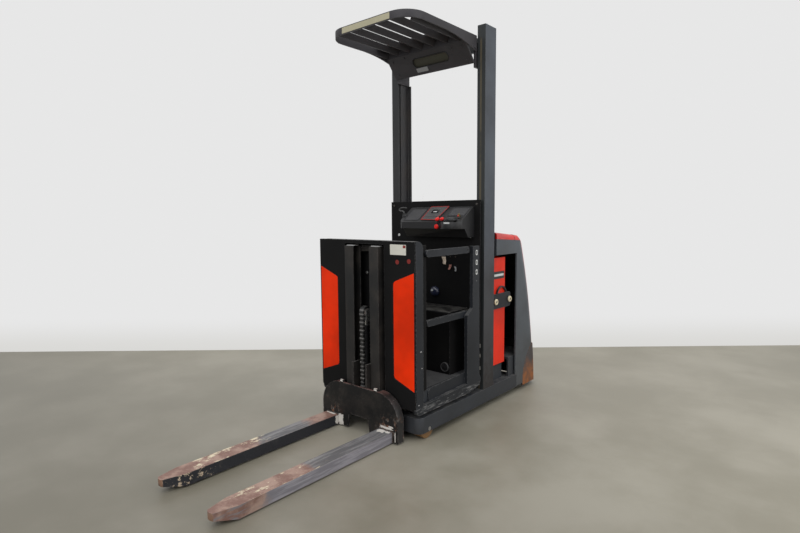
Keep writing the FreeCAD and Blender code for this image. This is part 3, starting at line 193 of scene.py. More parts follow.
def addLights():
    for name, light in lights.items():
        data = bpy.data.lights.new(name, "SUN" if "spread" in light else "AREA")
        if "spread" in light:           # an even glow from above, the same all over the floor
            data.angle = math.radians(light["spread"])
        else:
            data.size = light["size"]
        data.energy = light["power"]
        lamp = bpy.data.objects.new(name, data)
        lamp.visible_transmission = False    # no lamp shows through the clear screen
        lamp.location = light["place"]
        aim = Vector(light["aim"]) - Vector(light["place"])
        lamp.rotation_euler = aim.to_track_quat("-Z", "Y").to_euler()
        bpy.context.collection.objects.link(lamp)


def addStageMesh(name, corners, material):
    data = bpy.data.meshes.new(name)
    data.from_pydata(corners, [], [(0, 1, 2, 3)])
    data.materials.append(material)
    part = bpy.data.objects.new(name, data)
    bpy.context.collection.objects.link(part)
    return part


def addFloor():
    size = room["floorSize"]
    material, shader = newSurface("floorFinish")
    cloud = ramp(noise(objectPlace(), 1.1, 6.0, 0.6), 0.35, 0.68)
    tone = mix(cloud, room["floorWear"], room["floorColor"])
    # painted shade: the floor's colour darkens towards the front (-Y)
    shadeRamp = ramp(parts(objectPlace())["Y"], *room["floorShadeRun"])
    nearShade = minus(1.0, times(shadeRamp, 1 - room["floorNearShade"]))
    shade = addNode("ShaderNodeVectorMath", {"operation": "SCALE"}, i0=tone, Scale=nearShade)
    feed(shader["Base Color"], shade.outputs[0])
    rough, change = room["floorRough"]
    feed(shader["Roughness"], plus(rough, times(cloud, change)))
    addStageMesh("floor", [(-size, -size, 0), (size, -size, 0), (size, size, 0), (-size, size, 0)], material)


def addWall():
    # seen from the front only, and it casts nothing on the truck
    material = newMaterial("wallFinish")
    nodesOf = material.node_tree.nodes
    nodesOf.remove(nodesOf["Principled BSDF"])
    height = parts(objectPlace())["Z"]
    tone = mix(ramp(height, 0.0, room["footHeight"]), room["wallFoot"], room["wallColor"])
    glow = addNode("ShaderNodeEmission", None, Color=tone, Strength=1.0)
    clear = addNode("ShaderNodeBsdfTransparent")
    back = geometry("Backfacing")
    both = addNode("ShaderNodeMixShader", None, i0=back, i1=glow.outputs[0], i2=clear.outputs[0])
    feed(nodesOf["Material Output"].inputs["Surface"], both.outputs[0])
    left, right = Vector((*room["wallLeft"], 0)), Vector((*room["wallRight"], 0))
    a = left - (right - left) * room["wallRuns"]
    b = right + (right - left) * room["wallRuns"]
    top = zAxis * room["wallHeight"]
    wall = addStageMesh("wall", [a, b, b + top, a + top], material)
    wall.visible_diffuse = False
    wall.visible_shadow = False


def addWorld():
    # the camera, mirrors and the clear screen see a pale room, and the truck gets less light from it
    world = bpy.data.worlds.new("room")
    world.use_nodes = True
    bpy.context.scene.world = world
    lit = world.node_tree.nodes["Background"].inputs
    lit["Color"].default_value = (*room["world"], 1)
    tree["now"] = world.node_tree
    path = addNode("ShaderNodeLightPath").outputs
    seen = calc("MAXIMUM", path["Is Camera Ray"], path["Is Transmission Ray"])
    seen = calc("MAXIMUM", seen, path["Is Glossy Ray"])
    dim = room["worldStrength"]
    feed(lit["Strength"], plus(dim, times(seen, room["worldSeen"] - dim)))
    bpy.context.scene.view_settings.view_transform = "Standard"


# Shader groups shared by the finishes


def makeEdgeWear():
    # wear where faces meet: a rounded normal leaves the true one near an edge
    given, result = newGroup("edgeWear", {"Width": 0.004, "Breakup": 60.0, "Amount": 0.5}, ["Mask"])
    bevel = addNode("ShaderNodeBevel", {"samples": 6}, Radius=given["Width"])
    flat = geometry("Normal")
    agree = vectorMath("DOT_PRODUCT", bevel.outputs[0], flat)["Value"]
    edge = ramp(minus(1.0, agree), 0.01, 0.16)
    broken = ramp(noise(objectPlace(), given["Breakup"]), 0.42, 0.60)
    feed(result["Mask"], times(edge, broken, given["Amount"], clamp=True))


def makeScuffs():
    # long thin scratches and short rub marks, in object space
    given, result = newGroup("scuffs", {"Scale": 9.0, "Amount": 0.5, "Cover": 0.5}, ["Mask"])
    place = objectPlace()
    fine = noise(stretch(place, (5.0, 5.0, 0.35)), times(given["Scale"], 9.0), 2.0)
    cross = noise(stretch(place, (0.5, 0.35, 6.0)), times(given["Scale"], 7.0), 2.0)
    lines = calc("MAXIMUM", ramp(fine, 0.66, 0.74), ramp(cross, 0.67, 0.75))
    patch = ramp(noise(place, given["Scale"], 3.0), minus(0.74, times(given["Cover"], 0.3)), 0.78)
    feed(result["Mask"], times(lines, patch, given["Amount"], clamp=True))


def makeGrime():
    # soft dirt in broad clouds, heavier low down and on faces that look up; a large Low weight, as on the mast,
    # makes the low part painted shade too
    given, result = newGroup("grime", {"Scale": 3.0, "Amount": 0.4, "Low": 0.3}, ["Mask", "Dust"])
    place = objectPlace()
    cloud = ramp(noise(place, given["Scale"], 6.0, 0.62), 0.42, 0.72)
    low = times(ramp(parts(place)["Z"], 0.75, 0.05), given["Low"])
    both = plus(times(cloud, given["Amount"]), times(low, noise(place, 22.0, 5.0)))
    feed(result["Mask"], calc("MINIMUM", both, 1.0))
    upward = ramp(facing("Z"), 0.55, 0.95)
    feed(result["Dust"], times(upward, ramp(noise(place, 14.0, 6.0), 0.3, 0.7)))


def makeRelief():
    # fine surface relief: orange peel in paint, grain in plastic, pits in steel
    given, result = newGroup("fineRelief", {"Scale": 300.0, "Depth": 0.5}, ["Height"])
    place = objectPlace()
    fine = noise(place, given["Scale"], 3.0)
    broad = noise(place, times(given["Scale"], 0.12), 2.0)
    feed(result["Height"], times(plus(fine, times(broad, 0.6)), given["Depth"]))


def useGroup(name, **values):
    return addNode("ShaderNodeGroup", {"node_tree": bpy.data.node_groups[name]}, **values).outputs


def addRelief(shader, scale, depth, strength, distance=0.002):
    height = useGroup("fineRelief", Scale=scale, Depth=depth)["Height"]
    bump = addNode("ShaderNodeBump", None, Strength=strength, Distance=distance, Height=height)
    feed(shader["Normal"], bump.outputs[0])


# Finishes: paint, plastic, rubber and steel, each with its own wear

paintFields = ("color", "worn", "dirt", "rough", "edge", "scuff", "grime", "low", "gloss")
paints = {
    "chassisPaint": ((0.022, 0.026, 0.032), (0.15, 0.15, 0.155), (0.032, 0.032, 0.034),
                     0.46, 0.8, 0.6, 0.35, 0.5, 0.35),
    "panelPaint": ((0.058, 0.068, 0.080), (0.20, 0.20, 0.20), (0.050, 0.046, 0.040),
                   0.42, 0.7, 0.5, 0.3, 0.5, 0.4),
    "framePaint": ((0.015, 0.017, 0.021), (0.17, 0.17, 0.175), (0.013, 0.014, 0.015),
                   0.46, 0.9, 0.7, 0.4, 0.5, 0.25),
    # the left column's copy of the mast paint, darker all over: painted shade
    "shadedMastPaint": ((0.022, 0.023, 0.025), (0.16, 0.15, 0.15), (0.024, 0.021, 0.019),
                 0.44, 0.5, 0.4, 0.4, 0.2, 0.35),
    # the mast paint's heavy low weight and its shadeBelow darken the lower column: painted shade, with some
    # grime
    "mastPaint": ((0.062, 0.072, 0.088), (0.26, 0.25, 0.24), (0.026, 0.023, 0.022),
                  0.42, 0.55, 0.4, 0.34, 2.0, 0.3),
    "innerMastPaint": ((0.022, 0.022, 0.024), (0.14, 0.13, 0.12), (0.05, 0.04, 0.03),
                       0.36, 0.4, 0.35, 0.5, 0.1, 0.4),
    "cabBlack": ((0.0062, 0.0062, 0.0066), (0.11, 0.11, 0.11), (0.013, 0.012, 0.011),
                 0.50, 0.65, 0.45, 0.3, 0.4, 0.08),
    "guardBlack": ((0.043, 0.041, 0.046), (0.13, 0.13, 0.13), (0.047, 0.044, 0.044),
                   0.50, 0.35, 0.35, 0.45, 0.0, 0.25),
    "insertRed": ((0.76, 0.029, 0.001), (0.40, 0.02, 0.004), (0.38, 0.022, 0.004),
                  0.46, 0.2, 0.45, 0.16, 0.1, 0.12),
    "hoodRed": ((0.56, 0.016, 0.010), (0.30, 0.02, 0.012), (0.28, 0.02, 0.012),
                0.22, 0.15, 0.25, 0.15, 0.1, 0.7),
    "batteryRed": ((0.70, 0.024, 0.006), (0.3, 0.03, 0.02), (0.25, 0.02, 0.01),
                   0.42, 0.4, 0.35, 0.2, 0.2, 0.25),
    "skirtRust": ((0.052, 0.054, 0.058), (0.40, 0.14, 0.045), (0.10, 0.065, 0.050),
                  0.6, 1.0, 0.9, 0.5, 0.3, 0.3),
    "platePaint": ((0.0085, 0.0085, 0.0088), (0.13, 0.12, 0.11), (0.060, 0.050, 0.042),
                   0.5, 0.9, 0.8, 0.5, 0.6, 0.3),
    "machineGrey": ((0.014, 0.014, 0.015), (0.10, 0.09, 0.08), (0.022, 0.018, 0.015),
                    0.6, 0.4, 0.3, 0.7, 0.5, 0.35),
}
paintExtras = {
    "framePaint": {"scrapeBelow": 0.220}, "hoodRed": {"inside": (0, 0.80, 0.70)},
    # front: the darker tone of the mast faces towards the cab, painted shade
    "mastPaint": {"front": (0.024, 0.027, 0.028), "shadeBelow": (1.25, 0.85)},
    "skirtRust": {"inside": (0, 0.80, 0.20), "rustBelow": 0.27},
}
paintWear = {"dust": (0.26, 0.25, 0.23), "dustShare": 0.22, "bareInside": (0.014, 0.015, 0.015),
             "scrape": (0.19, 0.19, 0.19), "track": (0.085, 0.072, 0.048), "trackPlace": 0.366,
             "rust": ((0.30, 0.105, 0.030), (0.17, 0.075, 0.038))}


def paint(name):
    # paint over metal or moulded colour: dirt clouds, scuffs and bare edges
    given = {**dict(zip(paintFields, paints[name])), **paintExtras.get(name, {})}
    material, shader = newSurface(name)
    place = objectPlace()
    split = parts(place)
    light = tuple(min(1.0, c * 1.22) for c in given["color"])
    dark = tuple(c * 0.84 for c in given["color"])
    base = mix(ramp(noise(place, 2.2, 4.0), 0.35, 0.65), dark, light)
    # with the mast paint's heavy low weight, this mask is painted shade low down as well as grime
    dirt = useGroup("grime", Scale=3.2, Amount=given["grime"], Low=given["low"])
    base = mix(dirt["Mask"], base, given["dirt"])
    scuff = useGroup("scuffs", Scale=8.0, Amount=given["scuff"], Cover=given["scuff"])
    edge = useGroup("edgeWear", Width=0.0045, Breakup=70.0, Amount=given["edge"])
    worn = calc("MAXIMUM", scuff["Mask"], edge["Mask"])
    base = mix(worn, base, given["worn"])
    base = mix(times(dirt["Dust"], paintWear["dustShare"]), base, paintWear["dust"])
    if "rustBelow" in given:            # rust that creeps up from the lower edge
        line = given["rustBelow"]
        creep = plus(split["Z"], times(noise(place, 7.0, 7.0), -0.30))
        rust = times(ramp(creep, line - 0.20, line - 0.30), 0.85)
        tone = mix(ramp(noise(place, 24.0, 6.0), 0.40, 0.62), *paintWear["rust"])
        base = mix(rust, base, tone)
    if "scrapeBelow" in given:          # long bright scrapes along the sill
        low = ramp(split["Z"], given["scrapeBelow"], given["scrapeBelow"] - 0.012)
        lines = ramp(noise(stretch(place, (1.0, 0.55, 3.2)), 34.0, 8.0, 0.7), 0.50, 0.62)
        base = mix(times(low, lines, 0.75), base, paintWear["scrape"])
    if "shadeBelow" in given:           # painted shade: the lower part of the column is darkened towards its dirt colour
        base = mix(times(ramp(split["Z"], *given["shadeBelow"]), 0.7), base, given["dirt"])
    if "front" in given:                # painted shade: the faces towards the cab are darkened; on them runs a greasy brown track
        turned = ramp(facing("Y"), -0.4, -0.8)
        base = mix(turned, base, given["front"])
        across = minus(calc("ABSOLUTE", split["X"]), paintWear["trackPlace"])
        track = times(ramp(calc("ABSOLUTE", across), 0.009, 0.005), ramp(noise(place, 6.0), 0.3, 0.5))
        base = mix(times(turned, track), base, paintWear["track"])
    if "inside" in given:               # painted shade: faces that look towards the middle of the shell are painted near-black
        off = vectorMath("SUBTRACT", place, given["inside"])[0]
        way = vectorMath("DOT_PRODUCT", off, geometry("True Normal"))
        base = mix(calc("LESS_THAN", way["Value"], 0.0), base, paintWear["bareInside"])
    feed(shader["Base Color"], base)
    shader["Specular IOR Level"].default_value = given["gloss"]
    rough = plus(given["rough"], times(dirt["Mask"], 0.28))
    feed(shader["Roughness"], plus(rough, times(worn, 0.12), True))
    addRelief(shader, 260.0, 0.5, 0.10)
    return material


def steel(name, color, rough, rust, rustAmount):
    material, shader = newSurface(name)
    place = objectPlace()
    streak = noise(stretch(place, (3.0, 0.4, 3.0)), 30.0, 5.0)
    bright = mix(streak, tuple(c * 0.7 for c in color), color)
    spots = ramp(noise(place, 9.0, 8.0, 0.68), 0.62 - rustAmount * 0.3, 0.70)
    feed(shader["Base Color"], mix(spots, bright, rust))
    feed(shader["Metallic"], minus(0.9, times(spots, 0.85)))
    feed(shader["Roughness"], plus(rough, times(spots, 0.35), True))
    addRelief(shader, 180.0, 0.8, 0.16)
    return material


def beadSteel(name, pitch):
    # chain plates, by height: a painted highlight across each bead's middle, and dark greasy gaps
    material, shader = newSurface(name)
    place = objectPlace()
    wave = calc("SINE", times(parts(place)["Z"], 2 * math.pi / pitch))
    bead = times(ramp(wave, 0.1, 0.8), ramp(noise(place, 40.0), 0.3, 0.55))
    feed(shader["Base Color"], mix(bead, (0.008, 0.008, 0.008), (0.135, 0.13, 0.125)))
    feed(shader["Metallic"], times(bead, 0.5))
    feed(shader["Roughness"], minus(0.55, times(bead, 0.15)))
    return material


def chippedPlate():
    # black plate: rust along the rim that looks up, bare chips low down, pale rubs by the fork heels
    material, shader = newSurface("chippedPlate")
    place = objectPlace()
    split = parts(place)
    off = calc("ABSOLUTE", split["X"])
    cloud = noise(place, 9.0, 7.0, 0.65)
    base = mix(ramp(cloud, 0.4, 0.7), (0.0075, 0.0075, 0.0078), (0.024, 0.021, 0.019))
    above = times(ramp(facing("Z"), 0.35, 0.9), ramp(cloud, 0.32, 0.56),
                  plus(0.12, times(ramp(off, 0.24, 0.17), 0.88)))
    base = mix(above, base, (0.115, 0.060, 0.052))
    # faces that look to +X are painted lighter grey: a painted sheen on that side
    side = times(ramp(facing("X"), 0.25, 0.7), 0.35)
    base = mix(side, base, (0.045, 0.044, 0.044))
    low, outer = ramp(split["Z"], 0.20, 0.05), ramp(off, 0.12, 0.24)
    flake = ramp(noise(stretch(place, (1.0, 1.0, 0.6)), 26.0, 8.0, 0.72), 0.50, 0.60)
    bare = times(low, outer, flake)
    rust = mix(ramp(noise(place, 44.0, 4.0), 0.45, 0.6), (0.20, 0.085, 0.045), (0.33, 0.30, 0.27))
    base = mix(bare, base, rust)
    edge = useGroup("edgeWear", Width=0.006, Breakup=36.0, Amount=1.0)
    base = mix(times(edge["Mask"], 0.8), base, (0.22, 0.20, 0.19))
    scrape = useGroup("scuffs", Scale=7.0, Amount=0.8, Cover=0.9)
    feed(shader["Base Color"], mix(scrape["Mask"], base, (0.17, 0.16, 0.15)))
    feed(shader["Roughness"], plus(0.44, times(bare, 0.25)))
    shader["Specular IOR Level"].default_value = 0.22
    addRelief(shader, 120.0, 0.9, 0.2, 0.003)
    return material


def moulded(name, color, rough, grain, depth, gloss=0.35):
    # grained plastic or rubber
    material, shader = newSurface(name)
    dirt = useGroup("grime", Scale=5.0, Amount=0.35, Low=0.1)
    base = mix(dirt["Mask"], color, tuple(c * 0.75 + 0.008 for c in color))
    feed(shader["Base Color"], mix(times(dirt["Dust"], 0.08), base, (0.2, 0.19, 0.18)))
    feed(shader["Roughness"], plus(rough, times(dirt["Mask"], 0.2), True))
    shader["Specular IOR Level"].default_value = gloss
    addRelief(shader, grain, depth, 0.25)
    return material


def clearSheet():
    # scratched polycarbonate with stains low down
    material, shader = newSurface("clearScreen")
    place = objectPlace()
    low = ramp(parts(place)["Z"], 1.75, 1.45)
    stain = times(low, ramp(noise(place, 26.0, 6.0, 0.7), 0.60, 0.75))
    feed(shader["Base Color"], mix(stain, (0.97, 0.975, 0.97), (0.72, 0.68, 0.62)))
    feed(shader["Roughness"], plus(0.03, times(stain, 0.3)))
    shader["Transmission Weight"].default_value = 1.0
    shader["IOR"].default_value = 1.05
    feed(shader["Alpha"], plus(0.10, times(stain, 0.35)))
    return material


forkTones = {"primer": ((0.175, 0.095, 0.075), (0.33, 0.225, 0.18)),
             "rubbed": ((0.085, 0.085, 0.088), (0.185, 0.182, 0.185)),
             "bare": ((0.170, 0.163, 0.183), (0.255, 0.246, 0.270)),
             "black": ((0.016, 0.017, 0.021), (0.040, 0.040, 0.042)),
             "cream": (0.60, 0.53, 0.38), "tipSide": (0.17, 0.155, 0.16), "flake": (0.50, 0.40, 0.29),
             "scrape": (0.30, 0.28, 0.28), "edge": (0.36, 0.30, 0.27), "end": (0.20, 0.115, 0.075)}


def forkSteel():
    # forks: brown primer with cream chips towards the tips, grey steel by the heels, the near fork's side bare
    tones = forkTones
    material, shader = newSurface("forkSteel")
    place = objectPlace()
    upward = facing("Z")
    split = parts(place)
    near = calc("GREATER_THAN", split["X"], 0.0)
    far = minus(1.0, near)
    ragged = noise(place, 6.0, 7.0, 0.72)
    run = plus(split["Y"], times(minus(ragged, 0.5), 0.30))
    cloud = noise(place, 9.0, 8.0, 0.66)
    smear = ramp(noise(stretch(place, (7.0, 0.5, 7.0)), 9.0, 6.0, 0.6), 0.44, 0.62)
    brown = mix(ramp(cloud, 0.40, 0.62), *tones["primer"])
    heel = times(ramp(run, -0.86, -0.78), minus(1.0, times(far, ramp(run, -0.50, -0.42))))
    top = mix(heel, brown, mix(smear, *tones["rubbed"]))
    rim = times(ramp(upward, 1.0, 0.90), 0.2)
    lean = times(ramp(calc("ABSOLUTE", split["X"]), 0.24, 0.30), 0.05)
    chip = noise(stretch(place, (1.6, 0.7, 1.6)), 15.0, 8.0, 0.72)
    chip = ramp(plus(chip, plus(lean, rim)), 0.56, 0.62)
    middle = times(ramp(run, -0.70, -0.86), ramp(run, -1.32, -1.18))
    top = mix(times(chip, middle), top, tones["cream"])
    dark = mix(ramp(cloud, 0.50, 0.72), *tones["black"])
    side = mix(near, dark, mix(smear, *tones["bare"]))
    tip = ramp(run, -1.08, -1.16)
    side = mix(times(tip, near), side, mix(smear, brown, tones["tipSide"]))
    flakes = ramp(noise(place, 26.0, 8.0, 0.75), 0.54, 0.58)
    side = mix(times(tip, far, flakes), side, tones["flake"])
    scrape = useGroup("scuffs", Scale=6.0, Amount=0.8, Cover=0.8)
    side = mix(scrape["Mask"], side, tones["scrape"])
    color = mix(ramp(upward, 0.5, 0.9), side, top)
    edge = useGroup("edgeWear", Width=0.005, Breakup=40.0, Amount=0.6)
    color = mix(times(edge["Mask"], 0.6), color, tones["edge"])
    front = times(ramp(facing("Y"), -0.5, -0.9), ramp(cloud, 0.30, 0.5))
    feed(shader["Base Color"], mix(front, color, tones["end"]))
    feed(shader["Roughness"], plus(0.42, times(cloud, 0.35)))
    shader["Specular IOR Level"].default_value = 0.35
    addRelief(shader, 90.0, 1.0, 0.28, 0.004)
    return material


steels = {      # colour, roughness, rust colour and how much of it
    "bareSteel": ((0.42, 0.41, 0.40), 0.36, (0.16, 0.07, 0.04), 0.4),
    "chromeRod": ((0.62, 0.62, 0.62), 0.18, (0.3, 0.25, 0.2), 0.0),
    "brass": ((0.55, 0.40, 0.16), 0.30, (0.25, 0.16, 0.06), 0.1),
    "darkBolt": ((0.09, 0.085, 0.08), 0.45, (0.07, 0.035, 0.02), 0.6),
    "zincBolt": ((0.46, 0.46, 0.45), 0.34, (0.14, 0.11, 0.09), 0.3),
}
plastics = {    # colour, roughness, grain, its depth, and gloss where it isn't the usual one
    "tyreRubber": ((0.20, 0.11, 0.045), 0.62, 120.0, 1.0),
    "driveRubber": ((0.035, 0.034, 0.033), 0.7, 120.0, 1.0),
    "matRubber": ((0.03, 0.03, 0.031), 0.75, 240.0, 1.2),
    "blackPlastic": ((0.010, 0.010, 0.011), 0.42, 420.0, 0.8),
    "softPlastic": ((0.030, 0.030, 0.033), 0.36, 300.0, 0.5),
    "wornPlastic": ((0.055, 0.054, 0.055), 0.48, 240.0, 0.6),
    "trayGrey": ((0.038, 0.038, 0.041), 0.55, 500.0, 0.9),
    "stickerWhite": ((0.62, 0.63, 0.62), 0.45, 300.0, 0.15),
    "stickerCream": ((0.66, 0.65, 0.58), 0.45, 300.0, 0.15),
    "dullRed": ((0.20, 0.016, 0.012), 0.5, 300.0, 0.2),
    "paleWearAndHighlight": ((0.42, 0.42, 0.42), 0.45, 90.0, 0.8),
    "rubbedPaint": ((0.60, 0.57, 0.53), 0.55, 60.0, 1.0),
    "greyStickerAndGlint": ((0.30, 0.31, 0.32), 0.45, 300.0, 0.15),
    "labelDark": ((0.020, 0.019, 0.019), 0.40, 300.0, 0.2),
    "khakiStrip": ((0.46, 0.43, 0.30), 0.55, 60.0, 1.2),
    "oliveShade": ((0.050, 0.048, 0.034), 0.45, 200.0, 0.4),
    "paleTag": ((0.60, 0.50, 0.40), 0.5, 300.0, 0.2),
    "pinkTag": ((0.36, 0.16, 0.13), 0.5, 300.0, 0.2),
    "darkBlue": ((0.016, 0.020, 0.045), 0.22, 200.0, 0.2, 0.6),
    "borderRed": ((0.42, 0.008, 0.008), 0.35, 200.0, 0.1),
    "displayGlass": ((0.012, 0.014, 0.016), 0.10, 200.0, 0.05, 0.5),
    "stopRed": ((0.70, 0.012, 0.008), 0.25, 200.0, 0.1),
    "creamPlastic": ((0.68, 0.60, 0.42), 0.35, 200.0, 0.3),
}


made = {}       # every finish by its name


def makeFinishes():
    made.update({name: paint(name) for name in paints})
    made.update({name: steel(name, *given) for name, given in steels.items()})
    made.update({name: moulded(name, *given) for name, given in plastics.items()})
    made.update({"chainSteel": beadSteel("chainSteel", 0.025), "chippedPlate": chippedPlate(),
                 "clearScreen": clearSheet(), "forkSteel": forkSteel()})


wears = {
    "chassisPaint": ("base_frame", "battery_tray", "cab_floor"),
    "panelPaint": ("side_panels",),
    "framePaint": ("side_frame_left", "side_frame_right", "gate_rail_left", "gate_rail_right", "gate_bar_left",
                   "gate_bar_right", "battery_latches"),
    "shadedMastPaint": ("mast_column_left",),
    "mastPaint": ("mast_column_right", "mast_crossbeam"),
    "innerMastPaint": ("inner_mast",),
    "cabBlack": ("cab_front", "rear_wall", "leg_cabinet", "fork_cylinder", "lift_cylinder", "gate_hinges"),
    "platePaint": ("fork_mast", "carriage_frame"),
    "guardBlack": ("guard_frame", "guard_blades"),
    "insertRed": ("front_inserts",), "hoodRed": ("hood",), "batteryRed": ("battery",),
    "skirtRust": ("bumper_skirt",), "chippedPlate": ("fork_plate",),
    "machineGrey": ("power_unit", "drive_knuckle"),
    "bareSteel": ("load_wheel_axles", "chain_pulley"), "chromeRod": ("lift_rod", "lift_head"),
    "chainSteel": ("lift_chain",), "tyreRubber": ("load_wheel_left", "load_wheel_right"),
    "driveRubber": ("drive_wheel",), "matRubber": ("floor_mat",), "blackPlastic": ("console", "guide_pads"),
    "softPlastic": ("display_pad", "console_controls"), "clearScreen": ("screen",),
    "forkSteel": ("fork_left", "fork_right"),
}
nodeFinish = {name: finish for finish, names in wears.items() for name in names}
sharpNodes = {"screen", "lift_chain", "guard_blades"}        # their edges get no bevel
edgeRound = {"width": 0.0016, "segments": 2, "angle": 35, "merge": 0.00005}


def dressNodes():
    for name, node in nodes.items():
        node.data.materials.clear()
        node.data.materials.append(made[nodeFinish[name]])
        if name in sharpNodes:
            continue
        node.modifiers.new("weld", "WELD").merge_threshold = edgeRound["merge"]
        soften(node)


# Mesh helpers

cabFront = box("cab_front")[0].y        # lengths along the truck count from the cab's front face
sharpAngle = 32                         # degrees between faces that still shade as one


def at(x, y, z):
    return Vector((x, y + cabFront, z))


def addPiece(name, bm, finish, slot="cab_black", body="cab", smooth=True):
    bmesh.ops.recalc_face_normals(bm, faces=bm.faces)
    mesh = bpy.data.meshes.new(name)
    bm.to_mesh(mesh)
    bm.free()
    for face in mesh.polygons:
        face.use_smooth = smooth
    if smooth:
        mesh.set_sharp_from_angle(angle=math.radians(sharpAngle))
    piece = bpy.data.objects.new(name, mesh)
    bpy.context.collection.objects.link(piece)
    mesh.materials.append(made[finish])
    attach(piece, body)
    return piece


def soften(piece):
    bevel = piece.modifiers.new("edgeRound", "BEVEL")
    bevel.width = edgeRound["width"]
    bevel.segments = edgeRound["segments"]
    bevel.limit_method = "ANGLE"
    bevel.angle_limit = math.radians(edgeRound["angle"])


def bridge(bm, below, above):
    # quads between two closed rings
    for k in range(len(below)):
        after = (k + 1) % len(below)
        bm.faces.new((below[k], below[after], above[after], above[k]))


def addRing(bm, middle, side, other, radius, steps):
    return [bm.verts.new(middle + (side * math.cos(2 * math.pi * k / steps)
                                   + other * math.sin(2 * math.pi * k / steps)) * radius) for k in range(steps)]


def turned(bm, profile, place, axis, steps=28):
    # a turned form: profile points are (radius, height) along the axis
    side = axis.orthogonal().normalized()
    other = axis.cross(side)
    rings = []
    for radius, height in profile:
        middle = place + axis * height
        rings.append(addRing(bm, middle, side, other, radius, steps) if radius else [bm.verts.new(middle)])
    for below, above in zip(rings, rings[1:]):
        if len(below) == len(above):
            bridge(bm, below, above)
            continue
        for step in range(steps):
            after = (step + 1) % steps
            if len(below) == 1:
                bm.faces.new((below[0], above[after], above[step]))
            else:
                bm.faces.new((below[step], below[after], above[0]))
    for ring in (rings[0], rings[-1]):
        if len(ring) > 1:
            bm.faces.new(ring)


def addHex(bm, place, axis, across, height, washer=1.5):
    # a hexagon head on its washer, with a chamfered top
    side = axis.orthogonal().normalized()
    other = axis.cross(side)
    turned(bm, [(across * 0.5 * washer, -0.0005), (across * 0.5 * washer, height * 0.25)], place, axis, 20)
    rings = [addRing(bm, place + axis * height * rise, side, other, across * radius, 6)
             for radius, rise in ((0.577, 0.2), (0.577, 0.85), (0.50, 1.0))]
    for below, above in zip(rings, rings[1:]):
        bridge(bm, below, above)
    bm.faces.new(rings[0])
    bm.faces.new(rings[-1])


def addSlab(bm, low, high):
    size = Matrix.Diagonal((*(high - low), 1))
    bmesh.ops.create_cube(bm, size=1.0, matrix=Matrix.Translation((low + high) / 2) @ size)


def roundedOutline(width, height, radius, steps=5):
    points = []
    for cx, cy, start in ((1, 1, 0), (-1, 1, 90), (-1, -1, 180), (1, -1, 270)):
        for step in range(steps + 1):
            turn = math.radians(start + 90 * step / steps)
            points.append((cx * (width / 2 - radius) + math.cos(turn) * radius,
                           cy * (height / 2 - radius) + math.sin(turn) * radius))
    return points


def addPrism(bm, low, high):
    # a closed form between two outlines
    low, high = [bm.verts.new(point) for point in low], [bm.verts.new(point) for point in high]
    bridge(bm, low, high)
    bm.faces.new(list(reversed(low)))
    bm.faces.new(high)


def addPlate(bm, middle, right, up, outline, thick):
    # a flat outline raised square to its face: its points, or the width, height and corner of a rounded one
    if len(outline) == 3:
        outline = roundedOutline(*outline)
    out = right.cross(up).normalized()
    flat = [middle + right * x + up * y for x, y in outline]
    addPrism(bm, [point - out * 0.0002 for point in flat], [point + out * thick for point in flat])


def sweepLine(bm, points, radius, steps=12):
    # a round bar along points, its rings square to the run
    rings = []
    side = None
    for number, point in enumerate(points):
        before = points[max(number - 1, 0)]
        after = points[min(number + 1, len(points) - 1)]
        run = (after - before).normalized()
        if side is None:
            side = run.orthogonal().normalized()
        side = (side - run * side.dot(run)).normalized()
        rings.append(addRing(bm, point, side, run.cross(side), radius, steps))
    for below, above in zip(rings, rings[1:]):
        bridge(bm, below, above)
    bm.faces.new(rings[0])
    bm.faces.new(rings[-1])


def smoothPath(points, perRun=8):
    # a smooth line through the given points
    run = []
    padded = [points[0] * 2 - points[1]] + list(points) + [points[-1] * 2 - points[-2]]
    for a, b, c, d in zip(padded, padded[1:], padded[2:], padded[3:]):
        for step in range(perRun):
            t = step / perRun
            run.append(0.5 * ((2 * b) + (c - a) * t + (2 * a - 5 * b + 4 * c - d) * t * t
                              + (3 * b - a - 3 * c + d) * t ** 3))
    run.append(points[-1])
    return run


def addPlates(name, rows, finish, slot="cab_black", body="cab"):
    # flat pieces in one: each row holds its middle, right, up, outline and thickness
    bm = bmesh.new()
    for row in rows:
        addPlate(bm, *row)
    return addPiece(name, bm, finish, slot, body)


# Console: knobs, key switch, steering dome, lever and the display's frame

console = {"front": 0.540, "back": 0.690, "lip": 1.284, "rise": 1.386, "lobe": 0.496,
           "knobs": ((0.160, 0.03, 0.0165), (0.197, 0.04, 0.0145)), "lipKnob": (0.158, 1.254, 0.0160),
           "button": (0.290, 0.36), "dome": (0.266, 0.038), "ribs": 10, "key": (0.306, 0.30),
           "lever": (-0.176, 0.42), "mark": (0.262, 0.006),
           "trays": ((-0.150, -0.020, 0.10, 0.90), (0.195, 0.328, 0.38, 0.92)),
           "panels": ((0.120, 0.130, 0.0008), (0.122, 0.086, 0.0012)),
           "pad": ((0.008, 0.10), (0.134, 0.08), (0.154, 0.97), (0.004, 0.96)), "padHeight": 0.0072}
leverCurl = ((0, 0, 0), (-0.004, 0.002, 0.012), (-0.024, 0.010, 0.020), (-0.050, 0.018, 0.022),
             (-0.062, 0.022, 0.030), (-0.050, 0.024, 0.040), (-0.020, 0.026, 0.043), (0.002, 0.026, 0.040))
domeShape = ((0.62, 0.0005), (0.62, 0.006), (0.97, 0.008), (1, 0.013), (0.97, 0.018), (0.86, 0.024),
             (0.62, 0.0285), (0.3, 0.031), (0, 0.0318))
consoleSlope = (console["rise"] - console["lip"]) / (console["back"] - console["front"])
slopeUp = Vector((0, -consoleSlope, 1)).normalized()
slopeRun = Vector((0, 1, consoleSlope)).normalized()


def onConsole(x, share, lift=0.0):
    y = console["front"] + (console["back"] - console["front"]) * share
    return at(x, y, console["lip"] + (y - console["front"]) * consoleSlope) + slopeUp * lift


